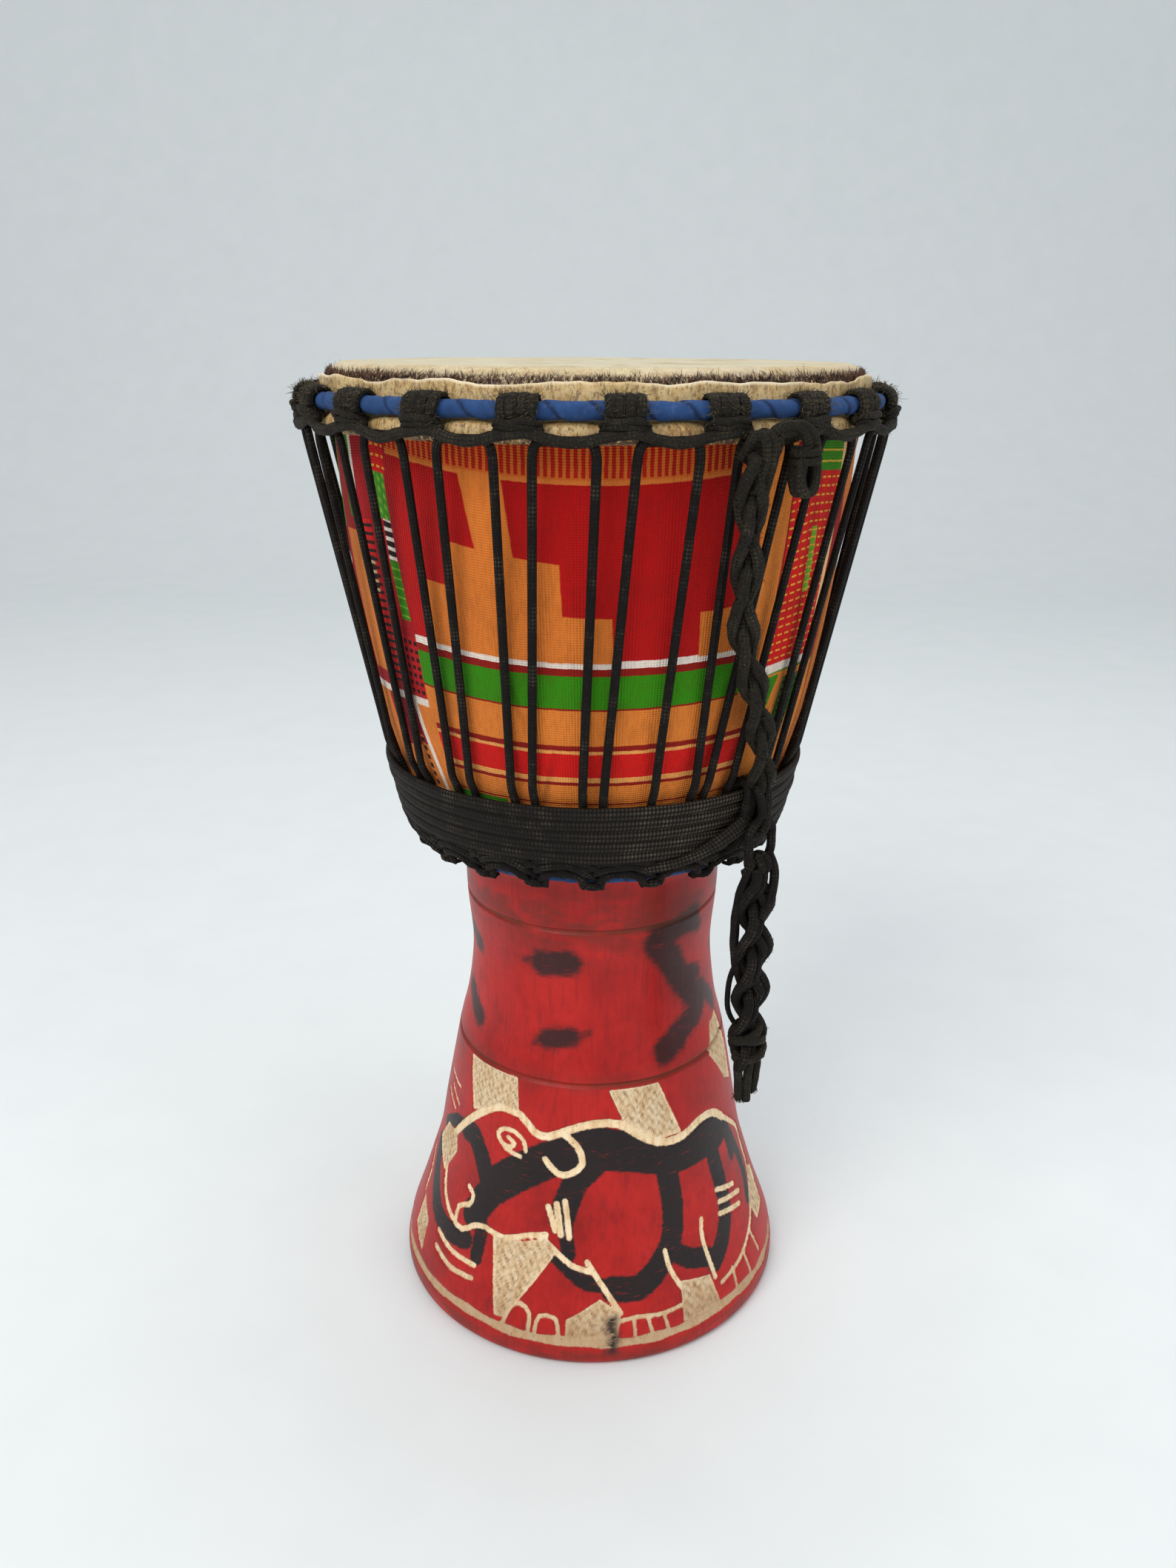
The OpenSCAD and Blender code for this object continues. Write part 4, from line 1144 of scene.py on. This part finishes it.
def lower_chain():
    """Loops round the lower ring, and the cord that links one to the next."""
    g = np.random.default_rng(121)
    shape = Shape()

    def cord(mid, line, radius):
        """line holds (outwards, upwards, onwards) steps from the ring's middle at angle mid."""
        path = bent(np.array(line)[:, [0, 2, 1]], 2.6, (lower_r, mid, lower_z))
        shape.rope(path, radius * ends_in(path, 0.5), 12, 0.07)

    for k in range(HITCHES):
        mid = FIRST + PITCH * k + LEAN + g.normal(0, 0.4)
        leg = [(-0.5, -4.6, -2.2), (3.4, -4.0, -2.5), (5.4, -0.6, -2.8), (7.0, 3.2, -2.9),
            (9.8, 7.2, -2.6)]
        cord(mid, leg + [(12.2, 10.4, 0.0)] + [(p[0], p[1], -p[2]) for p in leg[::-1]], 2.0)
        cord(mid, [(3.4, -3.9, -2.9), (5.6, -2.6, -1.6), (6.6, -1.8, 0.0), (6.0, -2.8, 1.8),
            (3.6, -4.2, 3.3)], 2.2)
        cord(mid, [(5.6, -1.6, 0.6), (7.8, 1.8, 2.4), (9.8, 5.4, 4.8), (10.4, 6.2, PITCH / 2),
            (9.6, 4.4 + g.normal(0, 0.4), PITCH - 4.6), (7.6, 0.4, PITCH - 2.4),
            (5.0, -3.2, PITCH - 0.4)], 2.4)
        cord(mid, [(6.4, 3.0, -1.6), (9.2, 6.8, 1.2), (11.4, 9.6, 4.2),
            (12.2, 10.6 + g.normal(0, 0.4), PITCH / 2 + 1), (11.0, 8.6, PITCH - 3.4),
            (8.6, 4.4, PITCH - 0.6), (6.2, 1.4, PITCH + 1.4)], 2.5)
        cord(mid, [(9.6, 9.4, -3.0), (12.0, 12.4, 1.6), (12.6, 13.6 + g.normal(0, 0.3), PITCH / 2),
            (12.0, 12.2, PITCH - 1.6), (9.6, 9.0, PITCH + 3.0)], 2.3)
    rope_piece(shape, "lower_loop_cords", black_rope, "drum", "lower_loops")


lower_chain()


# ---- plaits
def plait(shape, route, wide, deep, period, rope, start, beside_each, fibres, thin=None):
    """Three strands plaited along the route, each of one or two ropes, with loose fibres. thin
    narrows the plait by the share of its length."""
    g = np.random.default_rng(int(period))
    length = np.concatenate([[0], np.cumsum(np.linalg.norm(np.diff(route, axis=0), axis=1))])
    along = unit(np.gradient(route, axis=0))
    out = unit(route * [1, 1, 0])
    out = unit(out - (out * along).sum(1)[:, None] * along)
    across = np.cross(along, out)
    taper = 1 if thin is None else thin(length / length[-1])
    for k in range(3):
        turn = 2 * np.pi * (length / period + k / 3) + start
        line = (route + (wide * taper * np.sin(turn))[:, None] * across
            + (deep * np.sin(2 * turn))[:, None] * out)
        step = unit(np.gradient(line, axis=0))
        beside = unit(np.cross(step, out))
        for side in beside_each:
            run = line + side * rope * 0.93 * beside
            shape.rope(run, rope, lobe=0.06, v0=31 * k + 7 * side)
            for i in g.integers(0, len(run), fibres):
                way = unit(out[i] * abs(g.normal(0, 1)) + across[i] * g.normal(0, 1))
                fray(shape, g, run[i] + way * rope, way, g.uniform(0.8, 2.6))


def upper_plait():
    """The plait from the tie knot down over the lacing to the hitch."""
    route = [(25.5, 478), (25.4, 466), (25.6, 455), (26.6, 438), (27.0, 421), (28.2, 404),
        (31, 387), (35, 368), (38.5, 349), (41.2, 332), (42.8, 322)]
    rest = lace_r(np.array([p[1] for p in route])) + 2 * ROPE + 4.9
    path = smooth([polar(r, p[0], p[1]) for r, p in zip(rest, route)], 2.5)
    shape = Shape()
    plait(shape, path, 4.5, 2.8, period=84, rope=2.6, start=0.6, beside_each=(0,), fibres=260)
    rope_piece(shape, "upper_plait", worn_rope, "drum", "plait_upper")


upper_plait()


def tie():
    """The knot that starts the plait, and the short end folded into a knob."""
    shape = Shape()
    for off, lift, size in ((-1.6, 0.4, 4.6), (0.1, 1.0, 5.2), (1.9, 0.6, 4.8)):
        deg = np.linspace(0, 360, 22, endpoint=False)
        r, z = around(142.2, 479.4 + lift, size, deg)
        shape.rope(polar(r, 27.5 + off + 0.5 * np.sin(np.radians(deg)), z), 2.05, 10, closed=True)
    first = [(143, 24.6, 476), (146.5, 24.8, 481), (149, 25.4, 485.2), (150, 26.6, 484.6),
        (149.8, 27.2, 479), (148.6, 27.0, 472), (147, 26.4, 463)]
    second = [(146, 27.6, 480), (149.5, 28.6, 486.5), (151.8, 30.4, 489), (152.5, 32.6, 487.5),
        (152.4, 34.2, 482), (151.5, 34.6, 475)]
    for line in (first, second):
        for side in (-1, 1):
            shape.rope(bent(line, 2, (0, side * 0.75, 0)), 2.2)
    rope_piece(shape, "tie_knot_cords", worn_rope, "drum", "tie_knot")
    knob = Shape()
    for deep in (-2.2, 2.2):
        line = [(150, 33.4, 480), (150, 32.6, 474), (149.8, 32.5, 468), (149.4, 33.2, 463.2),
            (149.2, 34.2, 462.2), (149.4, 35.2, 463.6), (149.8, 35.6, 468.4), (150, 35.3, 474),
            (150, 34.6, 480)]
        knob.rope(bent(line, 2, (deep, 0, 0)), 2.35, 10, 0.06)
    for z in (478.4, 475.2):
        deg = np.linspace(0, 360, 18, endpoint=False)
        t = np.radians(deg)
        knob.tube(polar(150 + 5.2 * np.cos(t), 34 + 5.2 * np.sin(t) / 2.62, z + 0.8 * np.sin(t)),
            1.7, sides=8, closed=True)
    rope_piece(knob, "folded_rope_end", worn_rope, "drum", "tie_tail")


tie()


def hitch():
    """Strands hitched round the binding. The middle one holds the link."""
    shape = Shape()
    up, low = LACE_UNDER_TOP, (LACE_UNDER_FOOT[0] + 1, LACE_UNDER_FOOT[1] + 4.4)
    step = 2 * ROPE + 0.15
    for off in (-2.6, 2.6):
        line = [(low[0] + step, low[1] - step - 1), (low[0], low[1]), (up[0] + 0.2, up[1] + 1.6),
            (up[0] + step + 0.6, up[1] + step + 0.4), (up[0] + 2 * step + 0.6, up[1] + 0.4),
            (low[0] + 2 * step + 0.6, low[1] - 0.6)]
        for side in (-1, 1):
            pts = [polar(p[0], TAIL_ANGLE + off + side * 0.85, p[1]) for p in line]
            shape.rope(smooth(pts, 3, True), 2.0, lobe=0.04, closed=True)
    holding = [(low[0] + step, low[1] - step), (low[0], low[1]), (up[0] + 0.2, up[1] + 1.4),
        (up[0] + step + 0.2, up[1] + step), (up[0] + 2 * step + 2, up[1] + 3),
        (TAIL_R + 3.6, LINK_PIVOT_Z + 12), (TAIL_R + 4.2, LINK_PIVOT_Z + 5),
        (TAIL_R + 3, LINK_PIVOT_Z + 1), (TAIL_R, LINK_PIVOT_Z), (TAIL_R - 4, LINK_PIVOT_Z - 1.6),
        (low[0] + 2 * step, low[1] - 1)]
    shape.tube(smooth([polar(p[0], TAIL_ANGLE, p[1]) for p in holding], 3, True), 1.9, sides=10,
        closed=True)
    for off, lean in ((-1.3, 0.5), (1.2, -0.4)):
        line = [(117.5, TAIL_ANGLE - 1.2 + off, 324), (118.6, TAIL_ANGLE - 0.6 + off, 317),
            (118.4, TAIL_ANGLE + off + lean, 309), (115.6, TAIL_ANGLE + 1.6 * off + lean, 303)]
        shape.rope(bent(line, 2.5), 2.1, lobe=0.04)
    rope_piece(shape, "hitch_cords", black_rope, "drum", "wrap_hitch")


hitch()


def tail():
    """The link, the plait that hangs from it, and the knot and cut ends at its foot."""
    out = unit(polar(1, TAIL_ANGLE, 0))
    right = np.array([-out[1], out[0], 0])
    middle = out * TAIL_R
    top, low = link_hi[2] - ROPE, link_lo[2] + ROPE
    half = LINK_WIDTH / 2

    def spot(x, z, depth=0.0):
        """A point x to the right of the tail's middle, and depth out from the drum."""
        return middle + right * x + out * depth + np.array([0, 0, z])

    def front(x, z, depth=0.0):
        """The same, but x and depth as seen from the drum's front."""
        return middle + np.array([x, -depth, z])

    t = np.radians(np.arange(0, 180, 15))

    def wide(x):
        """Draws the loop out, more on its right."""
        return x * (1.45 if x > 0 else 1.1)

    oval = [spot(wide(half * math.cos(s)), top - half + half * math.sin(s)) for s in t]
    oval += [spot(wide(-half), z) for z in np.linspace(top - half, low + half, 4)]
    oval += [spot(wide(-half * math.cos(s)), low + half - half * math.sin(s)) for s in t]
    oval += [spot(wide(half), z) for z in np.linspace(low + half, top - half, 4)[:-1]]
    link = Shape().tube(np.array(oval), 2.2, sides=12, closed=True, lobes=3, lobe_pitch=11,
        lobe=0.04)
    rope_piece(link, "tail_link_cord", black_rope, "link", "tail_link")

    shape = Shape()
    eye_z = low
    deg = np.radians(np.linspace(0, 360, 24, endpoint=False))
    for side in (-1, 1):
        shape.tube(np.array([spot(side * 2.1, eye_z + 4.5 * math.sin(d) - 0.2, 4.5 * math.cos(d))
            for d in deg]), 2.0, sides=10, closed=True)
    route = np.array([spot(0.5 * math.sin(z / 17), z) for z in np.arange(eye_z - 3, 172, -2.5)])
    plait(shape, route, 5.8, 3.9, period=72, rope=2.55, start=0.4, beside_each=(-1, 1), fibres=60,
        thin=lambda share: 0.4 + 0.6 * clamp(share / 0.12))
    # loose strands beside the plait: left, right, and a thin one low on the left
    for strand, radius, how in (([(-2.4, 284, 2), (-5.4, 277, 3.4), (-8.2, 267, 3), (-9.6, 254, 2),
            (-9.6, 240, 2), (-8, 227, 2), (-3.6, 215, 2)], 2.3, {"sides": 10, "lobes": 3}),
            ([(5.6, 287, -5), (8.2, 280, -3), (8.4, 272, 0), (6, 263, 3), (2.4, 255, 4)], 2.3,
            {"sides": 10, "lobes": 3}),
            ([(-4, 238, 3), (-8, 231, 3), (-10.8, 222, 2), (-11.6, 212, 1), (-11, 203, 0),
            (-8, 196, 0), (-3, 191, 1)], 1.4, {"sides": 8})):
        shape.tube(smooth([front(*p) for p in strand], 3), radius, **how)
    braid = rope_piece(shape, "tail_plait", black_rope, "tail", "plait_lower")

    knot = Shape()
    for i, (z, size, tip, x) in enumerate(((192, 7.4, 3.0, -2.4), (187, 8.4, -2.6, -1.0),
            (181, 8.0, 3.2, 0.4), (176, 7.2, -2.4, 0.8))):
        ring_pts = [spot(x + size * math.cos(d), z + tip * math.cos(d + 0.4 * i),
            size * 0.82 * math.sin(d)) for d in deg]
        knot.rope(np.array(ring_pts), 2.3, 10, closed=True)
    # six cut ends under the knot
    for x0, y0, x1, z1 in ((-6, 0, -5.2, 153), (-2.6, 3, -2.4, 152), (-3, -2.6, -2.8, 155),
            (2.6, 1, 3.2, 154), (5.8, -1, 6, 157), (3, 3, 2.6, 156)):
        path = smooth([spot(x0 * 0.8, 180, y0), spot(x0 * 1.1, 172, y0 * 1.2),
            spot((x0 + x1) / 2 * 1.1, 164, y0), spot(x1, z1, y0 * 0.8)], 2.2)
        knot.rope(path, 2.3, 10)
    # a loop on the knot's right, then the frayed tips
    arch = [(4, 190, 2), (8.6, 186, 1), (9.6, 178, 0), (8.4, 170, 0), (5, 166, 1)]
    knot.tube(smooth([spot(*p) for p in arch], 2.2), 2.0, sides=10)
    g = np.random.default_rng(131)
    for x, z in ((-4.5, 153), (4, 155)):
        for _ in range(26):
            s = spot(x + g.normal(0, 1.6), z + 1, g.normal(0, 1.6))
            knot.tube(np.array([s, s + [g.normal(0, 0.5), g.normal(0, 0.5), -g.uniform(1, 2.6)],
                s + [g.normal(0, 1), g.normal(0, 1), -g.uniform(2.4, 4)]]),
                np.array([0.3, 0.25, 0.08]), sides=3)
    end = rope_piece(knot, "tail_knot", worn_rope, "tail", "tail_end_knot")
    path = [spot(0, z) / 1000 for z in np.linspace(eye_z, 173, 30)]


tail()


# ---- floor, light and camera
def studio():
    """A pale floor that sweeps up behind, three soft lamps and the photograph's point of view."""
    look = Look("pale_floor", Specular_IOR_Level=0.3)
    soft = look.noise(look.place(), 60, 4)
    floor_material = look.finish(look.mix(soft, rgb(232, 237, 237), rgb(240, 244, 244)), 0.6,
        [(look.noise(look.place(), 3), 0.02)])
    sweep = [(-2.2, 0.0)] + [(y, 0.0) for y in np.linspace(-1.5, 2.0, 8)]
    sweep += ([(2.0 + 1.2 * math.sin(t), 1.2 - 1.2 * math.cos(t))
        for t in np.linspace(0.15, math.pi / 2, 10)] + [(3.2, 3.6)])
    shape = Shape()
    P = np.array([[(x * 1000, y * 1000, z * 1000) for x in (-4, -1.4, 1.4, 4)] for y, z in sweep])
    shape.grid(P[:, ::-1])
    floor = shape.build("pale_sweep", floor_material)

    def area(name, where, target, size, power, colour=(1, 1, 1)):
        lamp = bpy.data.lights.new(name, "AREA")
        lamp.shape = "RECTANGLE"
        lamp.size, lamp.size_y = size
        lamp.energy = power
        lamp.color = colour
        obj = bpy.data.objects.new(name, lamp)
        obj.location = where
        obj.rotation_euler = (Vector(target) - Vector(where)).to_track_quat("-Z", "Y").to_euler()
        bpy.context.scene.collection.objects.link(obj)

    area("key_light", (-1.0, -1.5, 1.9), (0, 0, 0.28), (1.4, 1.2), 30, (1.0, 0.98, 0.95))
    area("fill_light", (1.5, -1.2, 1.1), (0, 0, 0.28), (1.4, 1.4), 9, (0.95, 0.98, 1.0))
    area("top_light", (0.2, 0.6, 2.2), (0, 0, 0.3), (1.8, 1.4), 12)
    world = bpy.data.worlds.new("studio")
    world.use_nodes = True
    world.node_tree.nodes["Background"].inputs[0].default_value = (0.93, 0.96, 1.0, 1)
    world.node_tree.nodes["Background"].inputs[1].default_value = 0.56
    bpy.context.scene.world = world
    bpy.context.scene.view_settings.view_transform = "Standard"

    camera = bpy.data.cameras.new("camera")
    camera.lens = 28.9
    camera.clip_start = 0.02
    eye = bpy.data.objects.new("camera", camera)
    eye.matrix_world = (Matrix.Translation((-0.0025, -0.6427, 0.5216))
        @ Matrix.Rotation(math.radians(70.4), 4, "X") @ Matrix.Rotation(math.radians(0.3), 4, "Z"))
    bpy.context.scene.collection.objects.link(eye)
    bpy.context.scene.camera = eye


studio()
